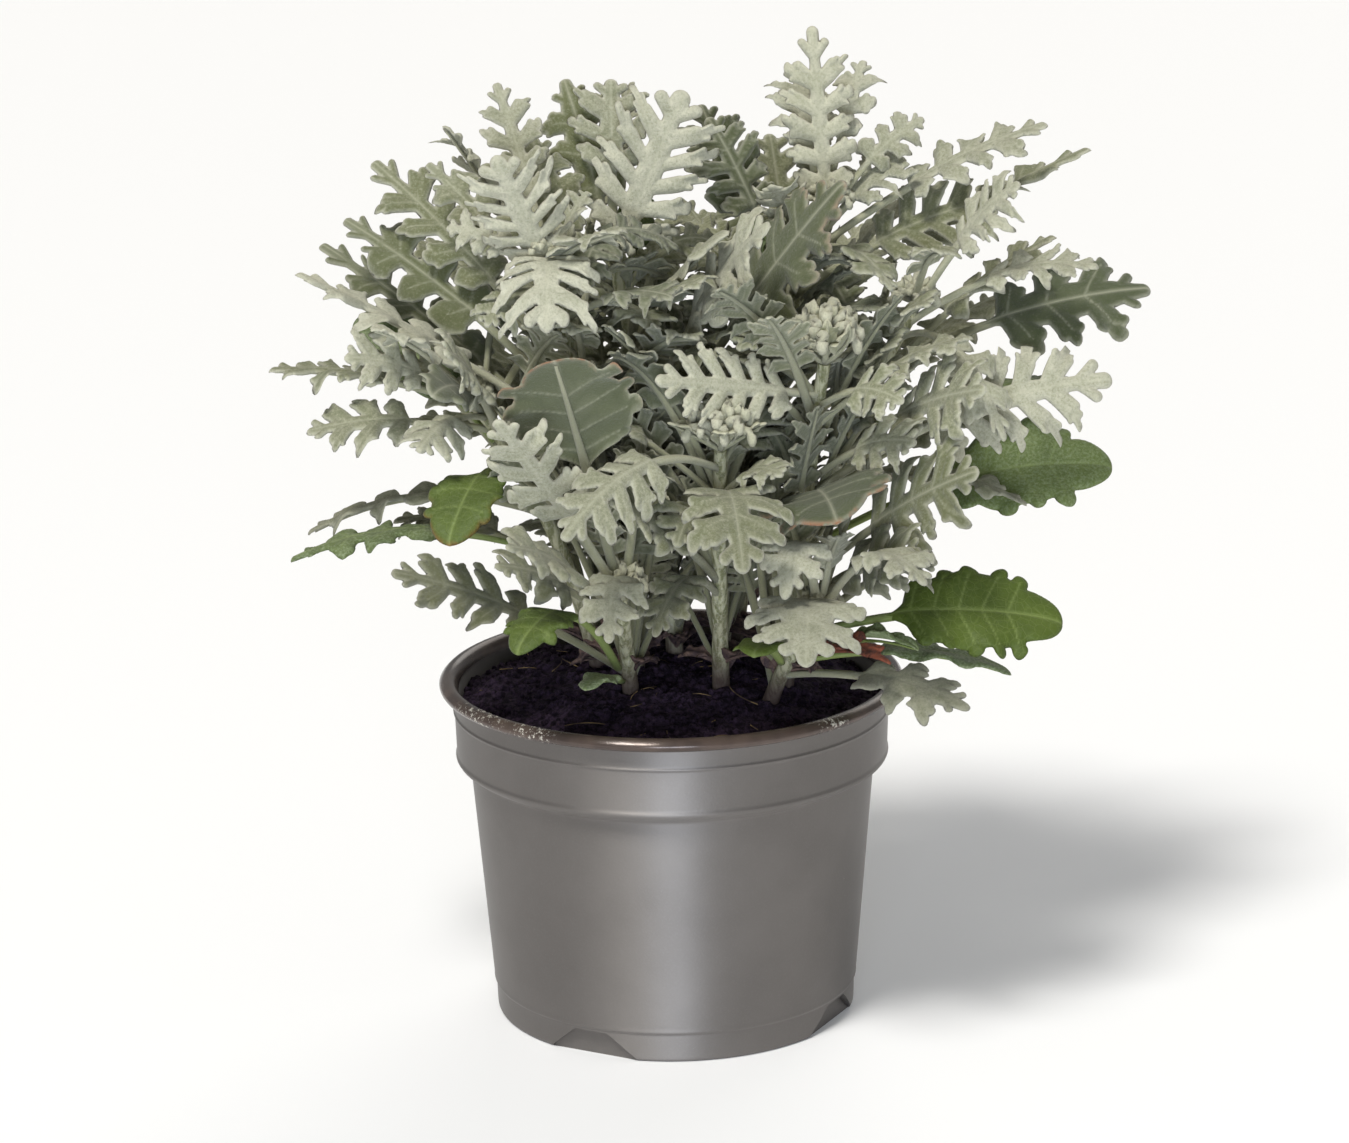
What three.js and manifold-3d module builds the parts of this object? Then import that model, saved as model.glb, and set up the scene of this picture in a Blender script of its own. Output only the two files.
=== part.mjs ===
// Dusty miller (Jacobaea maritima) in a 13 cm grower's pot.
// Millimetres, +Z up, -Y is the front. The origin is the centre of the pot's base, where the pot stands.
// Every leafy stem is one fused solid: a stem with the felted leaves that grow from it. The older green
// leaves and the dry one are solids of their own, each with its foot against the stem that it grows from.
import * as THREE from 'three';
import { mergeVertices } from 'three/addons/utils/BufferGeometryUtils.js';
import Module from 'manifold-3d';

const wasm = await Module();
wasm.setup();

// ---------------------------------------------------------------------------------- driving dimensions
const FIT_GAP = 0.3; // clearance between solids that touch on the real plant
const HOLE_GAP = 0.4; // clearance of a stem in its hole in the soil
const FOOT_GAP = 1.6; // from the surface of a stem to the foot of a leaf that is a solid of its own

const POT = {
  height: 97, // to the top of the lip
  lipRadius: 65,
  lipBand: 3.6,
  collarRadius: 60.6,
  stepHeight: 73.5, // where the collar steps in to the tapered wall
  wallTopRadius: 56.6,
  footRadius: 50.5,
  footRidge: 8.2,
  wall: 1.5,
  floorTop: 5.4,
  discRadius: 24, // the flat middle of the base, which rests on the surface
  footLift: 2.4, // how far the base is raised between the disc and the foot ring
  segments: 28,
};
const NOTCH = { count: 4, firstAngle: -27.6, bottomWidth: 27, topWidth: 11, height: 7.4 };
const DRAIN = { count: 4, radius: 4, circle: 33, sides: 6 };

const SOIL = { edgeHeight: 89.5, domeHeight: 100, roughness: 0.9, rings: 3 };

const STEM = { footRadius: 2.6, topRadius: 1.7, sides: 5, steps: 4, depth: 20 };
const BUD = { radius: 3.6, headRadius: 4.7 }; // the growing point on top of a stem, or in a young head

// A leaf's blade, its raised midrib and its stalk, as thicknesses and widths.
const LEAF = { blade: 0.7, rib: 1.3, stalkThick: 2.0, stalkWide: 2.8, longStalk: 34 };
const WAVE = { perMillimetre: 0.45, sideShift: 1.3 }; // how the blade's edge waves along its length
const CLEARANCE = 0.8; // extra thickness that a leaf must have room for, beside the leaves of other solids
const ROOT_REACH = 12; // how far from its foot a leaf may meet others of its own stem
const ABOVE = 1; // how far a leaf stays over the soil and the pot's lip

// The crown of foliage is an egg about this centre, with the same reach on its far side.
const CROWN = { centre: [8, 4, 184], reach: [108, 98, 88] };

// --------------------------------------------------------------------------------------- plain helpers
const UP = new THREE.Vector3(0, 0, 1);
const radians = (degrees) => (degrees * Math.PI) / 180;
const vec = (xyz) => new THREE.Vector3(...xyz);

// A small seeded generator of numbers from 0 to 1.
function seeded(seed) {
  let state = seed >>> 0;
  return () => {
    state = (state + 0x6d2b79f5) >>> 0;
    let mixed = Math.imul(state ^ (state >>> 15), 1 | state);
    mixed = (mixed + Math.imul(mixed ^ (mixed >>> 7), 61 | mixed)) ^ mixed;
    return ((mixed ^ (mixed >>> 14)) >>> 0) / 4294967296;
  };
}

// The point and the direction of a quadratic curve; past its end it runs straight on.
function curvePoint(from, middle, to, t) {
  const inside = Math.min(t, 1);
  const point = from
    .clone()
    .multiplyScalar((1 - inside) ** 2)
    .addScaledVector(middle, 2 * inside * (1 - inside))
    .addScaledVector(to, inside * inside);
  const slope = middle
    .clone()
    .sub(from)
    .multiplyScalar(2 * (1 - inside))
    .addScaledVector(to.clone().sub(middle), 2 * inside);
  point.addScaledVector(slope, t - inside);
  return { point, along: slope.normalize() };
}

// ------------------------------------------------------------------------------- solids from triangles
function solidFromArrays(vertices, triangles) {
  return new wasm.Manifold(
    new wasm.Mesh({
      numProp: 3,
      vertProperties: Float32Array.from(vertices),
      triVerts: Uint32Array.from(triangles),
    }),
  );
}

function mergedGeometry(geometry) {
  geometry.deleteAttribute('normal');
  geometry.deleteAttribute('uv');
  return mergeVertices(geometry, 1e-4);
}

function solidFromGeometry(geometry) {
  const merged = mergedGeometry(geometry);
  return solidFromArrays(merged.attributes.position.array, merged.index.array);
}

// Joins solids in one, keeps its one outer body and drops any sealed hollow inside it.
function fuse(solids) {
  const joined = wasm.Manifold.union(solids).simplify(0.02);
  return joined.decompose().reduce((best, body) => (body.volume() > best.volume() ? body : best));
}

function meshFromSolid(name, solid, material) {
  const { vertProperties, triVerts } = solid.getMesh();
  const geometry = new THREE.BufferGeometry();
  geometry.setAttribute('position', new THREE.BufferAttribute(new Float32Array(vertProperties), 3));
  geometry.setIndex(new THREE.BufferAttribute(new Uint32Array(triVerts), 1));
  const mesh = new THREE.Mesh(geometry, material);
  mesh.name = name;
  return mesh;
}

// -------------------------------------------------------------------------------------------- the leaf
// The kinds of leaf: pairs of side lobes, teeth on a lobe, how far the web reaches out to the lobes' tips,
// half the width of a lobe as a share of the spacing of the lobes, the share of the leaf's length that is
// blade, and the fold of its halves about the midrib in degrees.
const KINDS = {
  hero: { pairs: 5, teeth: 2, web: 0.24, lobe: 0.41, blade: 0.7, fold: 8 },
  cut: { pairs: 4, teeth: 1, web: 0.27, lobe: 0.42, blade: 0.62, fold: 10 },
  small: { pairs: 3, teeth: 1, web: 0.32, lobe: 0.43, blade: 0.6, fold: 12 },
  broad: { pairs: 3, teeth: 1, web: 0.5, lobe: 0.42, blade: 0.62, fold: 6 },
  scalloped: { pairs: 4, teeth: 0, web: 0.84, lobe: 0.42, blade: 0.62, fold: 8 },
  entire: { pairs: 3, teeth: 0, web: 0.98, lobe: 0.42, blade: 0.7, fold: 8 },
  young: { pairs: 2, teeth: 0, web: 0.5, lobe: 0.42, blade: 0.85, fold: 14 },
};

// One leaf as a plan: its foot and tip, the rise of its arch, and how it is rolled about its own length.
function leaf(kind, at, tip, wide, more = {}) {
  return { ...KINDS[kind], at, tip, wide, lift: 8, sway: 0, roll: 0, curl: 0, wave: 1.2, ...more };
}

// Half the width of a blade at a share of its length from 0 to 1, as a share of its widest half.
const bladeHalf = (share) => 0.5 + 0.5 * Math.sin(Math.PI * (0.12 + 0.68 * share));

// Where the side lobes start and end along a blade, how they lean towards its tip (in degrees, at the foot
// and by how much less at the tip of a blade that is cut to its midrib), and how far they rise or sink.
const LOBE = { start: 0.05, end: 0.76, lean: 74, leanFall: 37, leanSpread: 6, rise: 0.1 };
// The points of a lobe's rounded end for 0, 1 and 2 teeth: out along the lobe, and across it, as shares.
const LOBE_ENDS = [
  [[1, 0]],
  [[0.84, -0.9], [1, 0.6]],
  [[0.72, -1], [1, -0.2], [0.86, 0.95]],
];

// The outline of one half of a blade, in millimetres from the blade's start and from the midrib.
// Each side lobe runs from one sinus to the next, and the last piece runs up to the tip of the leaf.
function lobes(plan, length, random) {
  const { pairs, teeth, web, wide } = plan;
  const spacing = (length * (LOBE.end - LOBE.start)) / pairs;
  const sinus = [];
  const outline = [];
  for (let i = 0; i <= pairs; i++) {
    const x = length * LOBE.start + spacing * i;
    const narrow = i === 0 ? 0.35 : i === pairs ? 0.75 + 0.2 * web : 1;
    const half = (wide / 2) * web * narrow * bladeHalf(i / pairs);
    sinus.push([x + spacing * 0.12 * (1 - web), half, 0]);
  }
  for (let i = 0; i < pairs; i++) {
    const share = (i + 0.5) / pairs;
    const forward = LOBE.leanFall * share * (1 - web);
    const lean = radians(LOBE.lean - forward + LOBE.leanSpread * (random() - 0.5));
    const reach = ((wide / 2) * bladeHalf(share) * (0.94 + 0.16 * random())) / Math.sin(lean);
    const rise = (random() - 0.5) * LOBE.rise * wide;
    const half = plan.lobe * spacing * Math.sin(lean);
    const base = length * LOBE.start + spacing * (i + 0.5) - reach * Math.cos(lean) * 0.25;
    const end = LOBE_ENDS[teeth].map(([out, across]) => [
      base + out * reach * Math.cos(lean) + across * half * Math.sin(lean),
      out * reach * Math.sin(lean) - across * half * Math.cos(lean),
      rise * out * out,
    ]);
    outline.push(end);
  }
  const last = [length * 0.88, wide * (0.22 + 0.07 * web), 0];
  return { sinus, outline, last };
}

// The flat plan of a whole leaf: points (x, w, rise, thickness, rib), triangles, and the edge round it.
function flatLeaf(plan, length, stalk) {
  const points = [];
  const triangles = [];
  const add = (x, w, rise, thick, rib = 0) => points.push([x, w, rise, thick, rib]) - 1;
  const turned = (side, a, b, c) => triangles.push(side > 0 ? [a, b, c] : [a, c, b]);
  const edge = { 1: [], '-1': [] };
  const inner = { 1: [], '-1': [] };

  const stalkSteps = stalk > LEAF.longStalk ? 2 : 1;
  for (let step = 0; step < stalkSteps; step++) {
    const back = 1 - step / stalkSteps;
    for (const side of [1, -1]) {
      const half = (LEAF.stalkWide / 2) * (1 - 0.45 * back) * plan.stout;
      const thick = LEAF.stalkThick * (1 - 0.3 * back) * plan.stout;
      edge[side].push(add(-stalk * back, side * half, 0, thick));
    }
  }
  const halves = { 1: lobes(plan, length, plan.random), '-1': lobes(plan, length, plan.random) };
  const ribbed = plan.web > 0.4;
  const rib = [null];
  for (let i = 1; ribbed && i <= plan.pairs; i++) {
    rib.push(add(halves[1].sinus[i][0] - 0.5, 0, 0, LEAF.blade, 1));
  }
  const tip = add(length, 0, 0, LEAF.blade);

  for (const side of [1, -1]) {
    const { sinus, outline, last } = halves[side];
    const onEdge = (spot, thick = LEAF.blade) => {
      const index = add(spot[0], side * spot[1], spot[2], thick);
      edge[side].push(index);
      return index;
    };
    const halfStalk = LEAF.stalkWide * 0.36 * plan.stout;
    let low = onEdge([0, Math.max(halfStalk, sinus[0][1]), 0], LEAF.rib * plan.stout);
    inner[side].push(low);
    for (let i = 0; i < plan.pairs; i++) {
      const round = outline[i].map((spot) => onEdge(spot));
      const high = onEdge(sinus[i + 1], ribbed ? LEAF.blade : LEAF.rib);
      inner[side].push(high);
      if (ribbed && i > 0) turned(side, rib[i], rib[i + 1], high);
      if (ribbed) turned(side, i > 0 ? rib[i] : low, i > 0 ? high : rib[1], i > 0 ? low : high);
      let from = low;
      let to = high;
      while (round.length) {
        const next = round.pop();
        turned(side, from, to, next);
        to = next;
        if (round.length) {
          const back = round.shift();
          turned(side, from, to, back);
          from = back;
        }
      }
      low = high;
    }
    const end = onEdge(last);
    if (ribbed) turned(side, rib[plan.pairs], tip, end);
    turned(side, ribbed ? rib[plan.pairs] : tip, end, low);
  }
  const [left, right] = [inner[1], inner[-1]];
  if (ribbed) {
    triangles.push([right[0], rib[1], left[0]]);
  } else {
    triangles.push([right[plan.pairs], tip, left[plan.pairs]]);
    for (let i = 0; i < plan.pairs; i++) {
      triangles.push([right[i], right[i + 1], left[i + 1]], [right[i], left[i + 1], left[i]]);
    }
  }
  for (let step = 0; step < stalkSteps; step++) {
    const [r0, r1, l0, l1] = [edge[-1][step], edge[-1][step + 1], edge[1][step], edge[1][step + 1]];
    triangles.push([r0, r1, l1], [r0, l1, l0]);
  }
  return { points, triangles, edge: [...edge[-1], tip, ...edge[1].reverse()] };
}

// The line that a leaf follows, from its foot to its tip, and the way its upper face looks along it.
function leafLine(plan) {
  const { foot, tip } = plan;
  const chord = tip.clone().sub(foot);
  const outward = new THREE.Vector3(chord.x, chord.y, 0);
  if (plan.heading !== undefined) {
    outward.set(Math.cos(radians(plan.heading)), Math.sin(radians(plan.heading)), 0);
  }
  outward.normalize();
  const across = UP.clone().cross(outward);
  const middle = foot
    .clone()
    .addScaledVector(chord, 0.5)
    .addScaledVector(UP, plan.lift)
    .addScaledVector(across, plan.sway)
    .addScaledVector(outward, plan.bulge ?? 0);
  let length = 0;
  for (let i = 0, last = foot; i < 12; i++) {
    const next = curvePoint(foot, middle, tip, (i + 1) / 12).point;
    length += next.distanceTo(last);
    last = next;
  }
  return { foot, middle, tip, outward, length };
}

// Where a point of the flat leaf lies in space, and the direction in which its thickness is measured there.
function leafPlace(plan, line, length, stalk, x, w, rise) {
  const t = (stalk + x) / (stalk + length);
  const { point, along } = curvePoint(line.foot, line.middle, line.tip, t);
  const up = line.outward
    .clone()
    .multiplyScalar(-along.z)
    .addScaledVector(UP, along.dot(line.outward));
  up.addScaledVector(along, -up.dot(along)).normalize();
  const across = up.clone().cross(along);
  const rolled = Math.min(1, Math.max(0, (t * (stalk + length)) / (stalk + 0.3 * length)));
  const turn = -radians(plan.roll) * rolled;
  const face = up.clone().multiplyScalar(Math.cos(turn)).addScaledVector(across, Math.sin(turn));
  const wing = across.clone().multiplyScalar(Math.cos(turn)).addScaledVector(up, -Math.sin(turn));
  const far = Math.abs(w);
  const share = Math.min(1, (2 * far) / plan.wide);
  const fold = radians(plan.fold) * Math.max(0, Math.min(1, x / (0.2 * length)));
  const curl = plan.curl / plan.wide;
  const bend = fold + curl * far;
  const flat = curl ? (Math.sin(bend) - Math.sin(fold)) / curl : far * Math.cos(fold);
  const high = curl ? (Math.cos(fold) - Math.cos(bend)) / curl : far * Math.sin(fold);
  const ripple = Math.sin(x * WAVE.perMillimetre + Math.sign(w) * WAVE.sideShift + plan.phase);
  const wave = plan.wave * share * share * ripple;
  point.addScaledVector(wing, Math.sign(w) * flat).addScaledVector(face, high + rise + wave);
  const thickness = face
    .clone()
    .multiplyScalar(Math.cos(bend))
    .addScaledVector(wing, -Math.sign(w) * Math.sin(bend));
  return { point, thickness };
}

// A leaf as vertices and triangles. `extra` makes it thicker on both faces, to test the room round it.
function leafArrays(plan, extra = 0) {
  const line = leafLine(plan);
  const length = line.length * plan.blade;
  const stalk = line.length - length;
  const settled = { ...plan, random: seeded(plan.seed), stout: Math.min(1, 0.45 + plan.wide / 36) };
  settled.phase = 6 * settled.random();
  const { points, triangles, edge } = flatLeaf(settled, length, stalk);
  const vertices = [];
  for (const [x, w, rise, thick, rib] of points) {
    const { point, thickness } = leafPlace(settled, line, length, stalk, x, w, rise);
    const above = thick / 2 + extra / 2;
    const below = above + rib * (LEAF.rib - LEAF.blade);
    vertices.push(...point.clone().addScaledVector(thickness, above));
    vertices.push(...point.clone().addScaledVector(thickness, -below));
  }
  const faces = [];
  for (const [a, b, c] of triangles) faces.push(2 * a, 2 * b, 2 * c, 2 * a + 1, 2 * c + 1, 2 * b + 1);
  edge.forEach((a, i) => {
    const b = edge[(i + 1) % edge.length];
    faces.push(2 * a + 1, 2 * b + 1, 2 * b, 2 * a + 1, 2 * b, 2 * a);
  });
  return { vertices, faces };
}

// ------------------------------------------------------------------------------------------- the stems
// A stem runs from its foot in the soil to its top, by way of a middle point.
function stemLine(stem) {
  const foot = new THREE.Vector3(stem.foot[0], stem.foot[1], SOIL.domeHeight - STEM.depth);
  return { foot, middle: vec(stem.by), top: vec(stem.top) };
}

function stemArrays(stem, extra = 0) {
  const { foot, middle, top } = stemLine(stem);
  const start = foot.clone().addScaledVector(UP, -extra);
  const vertices = [];
  const faces = [];
  for (let i = 0; i <= STEM.steps; i++) {
    const t = i / STEM.steps;
    const { point, along } = curvePoint(start, middle, top, t);
    const a = new THREE.Vector3(0, 1, 0).cross(along).normalize();
    const b = along.clone().cross(a);
    const radius = STEM.footRadius + (STEM.topRadius - STEM.footRadius) * t + extra;
    for (let k = 0; k < STEM.sides; k++) {
      const angle = (2 * Math.PI * k) / STEM.sides;
      const out = point.clone();
      out.addScaledVector(a, radius * Math.cos(angle)).addScaledVector(b, radius * Math.sin(angle));
      vertices.push(...out);
    }
  }
  const ring = (i, k) => i * STEM.sides + (k % STEM.sides);
  for (let i = 0; i < STEM.steps; i++) {
    for (let k = 0; k < STEM.sides; k++) {
      faces.push(ring(i, k), ring(i, k + 1), ring(i + 1, k + 1));
      faces.push(ring(i, k), ring(i + 1, k + 1), ring(i + 1, k));
    }
  }
  for (let k = 1; k < STEM.sides - 1; k++) {
    faces.push(ring(0, 0), ring(0, k + 1), ring(0, k));
    faces.push(ring(STEM.steps, 0), ring(STEM.steps, k), ring(STEM.steps, k + 1));
  }
  return { vertices, faces };
}

const onStem = (stem, at) => {
  const { foot, middle, top } = stemLine(stem);
  return curvePoint(foot, middle, top, at);
};

// ----------------------------------------------------------------------------- the plant, leaf by leaf
// Each leaf: kind, share of the stem's height where it grows, tip, greatest width, and what sets it apart.
const SHOOTS = {
  left_crown: {
    foot: [-8, -5], by: [-13, -12, 150], top: [-31, -28, 218],
    leaves: [
      leaf('hero', 1, [-44, -38, 250], 26, { heading: 90, blade: 0.94, lift: -2 }),
      leaf('cut', 1, [-31, -56, 206], 27, { blade: 0.85, lift: 15 }),
      leaf('small', 1, [-12, -50, 231], 17, { blade: 0.85, lift: 3 }),
      leaf('cut', 0.92, [-45, 5, 262], 15, { heading: 90, lift: 6 }),
      leaf('small', 0.84, [-64, 0, 241], 14, { roll: -50 }),
      leaf('small', 0.95, [-58, -25, 228], 12, { roll: -50 }),
      leaf('cut', 0.72, [-80, 20, 238], 20, { roll: -40 }),
      leaf('small', 0.66, [-88, 8, 223], 17, { roll: -50 }),
      leaf('cut', 0.55, [-96, 30, 213], 18, { roll: -30 }),
      leaf('small', 1, [-20, -18, 236], 12, { heading: 45, lift: 6, bulge: 4, blade: 0.85, curl: 1.2 }),
      leaf('broad', 0.85, [-36, 6, 246], 20, { heading: 90 }),
      leaf('cut', 0.62, [-100, -10, 213], 22, { lift: 5 }),
    ],
  },
  middle_top: {
    foot: [2, 6], by: [0, 10, 150], top: [-14, 2, 213],
    leaves: [
      leaf('hero', 1, [6, 6, 259], 31, { heading: 90, blade: 0.93, lift: 2 }),
      leaf('broad', 0.88, [-27, 22, 260], 20, { heading: 90 }),
      leaf('cut', 0.66, [28, -38, 230], 24, { roll: 60, lift: 12, blade: 0.66 }),
      leaf('broad', 0.58, [49, -15, 237], 29, { roll: 55, lift: 6, pairs: 4 }),
      leaf('scalloped', 0.8, [17, -28, 226], 12, { roll: 30, pairs: 3 }),
    ],
  },
  right_top: {
    foot: [14, 12], by: [14, 18, 165], top: [45, 18, 222],
    leaves: [
      leaf('hero', 1, [41, 20, 274], 19, { heading: 90, blade: 0.94, lift: 0 }),
      leaf('small', 0.97, [56, 34, 262], 15, { heading: 60 }),
      leaf('small', 0.74, [10, 36, 250], 20, { heading: 110 }),
      leaf('cut', 0.8, [12, 20, 249], 20, { roll: -60 }),
      leaf('small', 0.88, [29, 0, 234], 14, { heading: 90 }),
      leaf('small', 0.98, [72, 25, 247], 12, { roll: 60 }),
      leaf('cut', 0.8, [93, 20, 225], 26, { roll: 40 }),
      leaf('cut', 0.9, [106, 30, 245], 20, {}),
      leaf('cut', 0.7, [120, 45, 234], 20, {}),
    ],
  },
  right_side: {
    foot: [25, 8], by: [37, 4, 148], top: [68, 2, 198],
    leaves: [
      leaf('cut', 1, [96, -10, 235], 20, { roll: 45 }),
      leaf('cut', 0.96, [117, -12, 212], 18, { lift: 12, roll: 15 }),
      leaf('broad', 0.84, [134, 15, 200], 26, { roll: 40 }),
      leaf('small', 0.92, [90, -35, 170], 16, { lift: 24 }),
      leaf('cut', 0.6, [84, -45, 188], 24, { roll: 60 }),
      leaf('small', 0.5, [98, -12, 146], 12, { lift: 16 }),
    ],
  },
  centre_rosette: {
    foot: [14, -13], by: [13, -30, 135], top: [14, -47, 172],
    head: { count: 5, reach: 13, rise: 10, wide: 8, seed: 6 },
    leaves: [
      leaf('small', 0.72, [19, -88, 149], 27, { lift: 26, blade: 0.7 }),
      leaf('small', 0.8, [30, -62, 163], 14, { lift: 8, roll: 20 }),
      leaf('broad', 0.5, [-15, -80, 166], 22, { roll: -45 }),
      leaf('cut', 0.92, [-27, -86, 160], 20, { lift: 20, roll: -30, fold: -14 }),
      leaf('small', 0.6, [2, -72, 142], 18, { lift: 20 }),
      leaf('small', 0.45, [-4, -66, 126], 16, { lift: 20 }),
    ],
  },
  ball_head: {
    foot: [30, -12], by: [36, -24, 148], top: [42, -34, 192],
    head: { count: 7, reach: 7, rise: 13, wide: 9, bulge: 7, seed: 9 },
    leaves: [
      leaf('hero', 0.9, [-3, -56, 193], 21, { roll: -65, lift: 0, blade: 0.85 }),
      leaf('hero', 0.6, [121, -26, 191], 27, { roll: 60, lift: 14, blade: 0.64 }),
      leaf('cut', 0.35, [82, -56, 167], 26, { roll: 60 }),
      leaf('scalloped', 0.56, [44, -80, 158], 34, { lift: 12 }),
      leaf('small', 0.64, [66, -52, 172], 20, { roll: 40 }),
      leaf('small', 0.8, [82, -30, 197], 18, {}),
      leaf('small', 0.86, [62, -56, 186], 16, { roll: 50 }),
      leaf('small', 0.3, [66, -60, 148], 20, { roll: 40 }),
    ],
  },
  right_low: {
    foot: [23, -20], by: [30, -31, 111], top: [40, -44, 124],
    leaves: [
      leaf('broad', 0.9, [35, -89, 124], 30, { lift: 22, blade: 0.66 }),
      leaf('broad', 1, [30, -74, 138], 19, { lift: 34 }),
      leaf('small', 1, [45, -64, 150], 14, { lift: 8, curl: 1.5 }),
      leaf('small', 1, [66, -70, 134], 17, { lift: 24 }),
      leaf('broad', 0.45, [79, -64, 104], 18, { lift: 8, roll: 20 }),
      leaf('small', 0.8, [72, -40, 138], 18, { lift: 10, roll: 30 }),
    ],
  },
  left_low: {
    foot: [-10, -14], by: [-12, -27, 112], top: [-13, -41, 130],
    leaves: [
      leaf('hero', 1, [-44, -76, 188], 21, { heading: 90, blade: 0.62, pairs: 4, lift: 4 }),
      leaf('scalloped', 0.95, [-29, -66, 201], 36, { heading: 270, lift: 4, blade: 0.45 }),
      leaf('small', 0.8, [-42, -82, 155], 17, { roll: -40 }),
      leaf('cut', 0.4, [-74, -50, 140], 19, { roll: -45 }),
      leaf('small', 0.9, [-16, -78, 128], 17, { lift: 24 }),
      leaf('small', 0.7, [-46, -60, 144], 17, { roll: -40 }),
    ],
  },
  left_side: {
    foot: [-17, 3], by: [-26, -2, 140], top: [-52, -10, 176],
    leaves: [
      leaf('cut', 1, [-109, 0, 184], 20, { lift: 6 }),
      leaf('small', 0.96, [-86, -30, 194], 18, { roll: -50 }),
      leaf('small', 0.9, [-98, -15, 170], 18, { roll: -30, lift: 6 }),
      leaf('small', 0.6, [-100, 2, 137], 16, { lift: 16 }),
      leaf('small', 0.95, [-66, -46, 172], 16, { roll: -20, fold: -12 }),
      leaf('scalloped', 0.97, [-62, -50, 188], 15, { roll: -40, pairs: 3 }),
      leaf('small', 1, [-78, -36, 208], 14, { roll: -20 }),
      leaf('cut', 0.86, [-58, -52, 200], 20, { roll: -55 }),
      leaf('small', 1, [-80, -20, 198], 16, { roll: -30 }),
    ],
  },
  back_left: {
    foot: [-9, 20], by: [-13, 30, 145], top: [-30, 50, 194],
    leaves: [],
  },
  back_right: {
    foot: [16, 27], by: [24, 38, 145], top: [40, 54, 196],
    leaves: [],
  },
};

// The older leaves, whose felt has gone: the stem that each grows from, then the leaf as above.
const GREEN_LEAVES = {
  green_leaf_upper_left: ['left_side', leaf('entire', 0.86, [-86, 6, 204], 18, { roll: -55, blade: 0.75 })],
  green_leaf_side_left: ['left_side', leaf('entire', 0.75, [-58, -56, 149], 20, { lift: 20, blade: 0.5 })],
  green_leaf_low_left: ['left_side', leaf('broad', 0.5, [-103, -22, 136], 15, { lift: 14 })],
  green_leaf_hanging: ['left_low', leaf('scalloped', 0.5, [-40, -74, 124], 17, { lift: 26, blade: 0.45 })],
  green_leaf_on_soil: ['left_low', leaf('entire', 0.42, [-23, -54, 108], 9, { lift: 3 })],
  green_leaf_top_middle: ['middle_top', leaf('entire', 0.9, [-7, 27, 228], 10, { heading: 90 })],
  green_leaf_top_right: ['right_top', leaf('entire', 0.72, [24, 2, 228], 13, { roll: -50 })],
  green_leaf_right_thin: ['right_side', leaf('entire', 0.7, [114, 10, 176], 8, { lift: 6 })],
  green_leaf_right_broad: [
    'right_side',
    leaf('scalloped', 0.42, [123, -2, 152], 29, { lift: 14, roll: 40, pairs: 4 }),
  ],
  green_leaf_right_low: [
    'right_low',
    leaf('scalloped', 0.9, [106, -36, 119], 28, { roll: 40, blade: 0.72, pairs: 5 }),
  ],
  green_leaf_front: ['right_low', leaf('entire', 0.6, [22, -62, 119], 15, { lift: 6 })],
  green_leaf_folded: ['right_low', leaf('entire', 0.7, [66, -48, 118], 8, { lift: 6, fold: 40 })],
  green_leaf_rim: ['right_low', leaf('entire', 0.62, [92, -46, 106], 13, { lift: 8 })],
};
const DRY_LEAF = ['right_low', leaf('young', 0.7, [58, -60, 118], 9, { lift: 5, curl: 1.4 })];

// The far side of the crown: tips spread evenly over the egg by the golden angle, each leaf from the
// nearest stem.
const FAR_SIDE = {
  turns: 66, // leaves over the whole egg, of which those behind frontLimit and over lowest are kept
  seed: 21,
  frontLimit: 0.1,
  lowest: -0.88,
  wide: 22,
  stems: ['back_left', 'back_right', 'left_crown', 'middle_top', 'right_top', 'right_side', 'left_side'],
};
const GOLDEN_ANGLE = Math.PI * (3 - Math.sqrt(5));

function addFarLeaves() {
  const random = seeded(FAR_SIDE.seed);
  for (let i = 0; i < FAR_SIDE.turns; i++) {
    const high = 1 - (2 * (i + 0.5)) / FAR_SIDE.turns;
    const angle = i * GOLDEN_ANGLE;
    const flat = Math.sqrt(1 - high * high);
    const spot = [flat * Math.cos(angle), flat * Math.sin(angle), high];
    const reach = 0.86 + 0.14 * random();
    const wide = FAR_SIDE.wide * (0.75 + 0.5 * random());
    const droop = random();
    if (spot[1] < FAR_SIDE.frontLimit || high < FAR_SIDE.lowest) continue;
    const along = (axis) => CROWN.centre[axis] + CROWN.reach[axis] * reach * spot[axis];
    const tip = [0, 1, 2].map((axis) => Math.round(along(axis)));
    const far = (name) => vec(SHOOTS[name].top).distanceTo(vec(tip));
    const name = FAR_SIDE.stems.reduce((best, next) => (far(next) < far(best) ? next : best));
    const at = Math.min(1, Math.max(0.3, 0.62 + 0.4 * high));
    const kind = i % 3 === 0 ? 'cut' : 'small';
    const lift = 4 + 10 * droop * (1 - high);
    SHOOTS[name].leaves.push(leaf(kind, at, tip, wide, { lift, farSide: true }));
  }
}

// A young head: small leaves round the top of the stem, cupped over its growing point.
function addHeadLeaves(shoot) {
  const { count, reach, rise, wide, bulge = 2, seed } = shoot.head;
  const random = seeded(seed);
  for (let i = 0; i < count; i++) {
    const heading = THREE.MathUtils.radToDeg(i * GOLDEN_ANGLE);
    const out = reach * (0.8 + 0.3 * random());
    const [x, y, z] = shoot.top;
    const tip = [
      x + out * Math.cos(radians(heading)),
      y + out * Math.sin(radians(heading)),
      z + rise * (0.7 + 0.5 * random()),
    ];
    shoot.leaves.push(
      leaf('young', 1, tip, wide, { heading, bulge, lift: 1, curl: 1.4, wave: 0.3 }),
    );
  }
}

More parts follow.
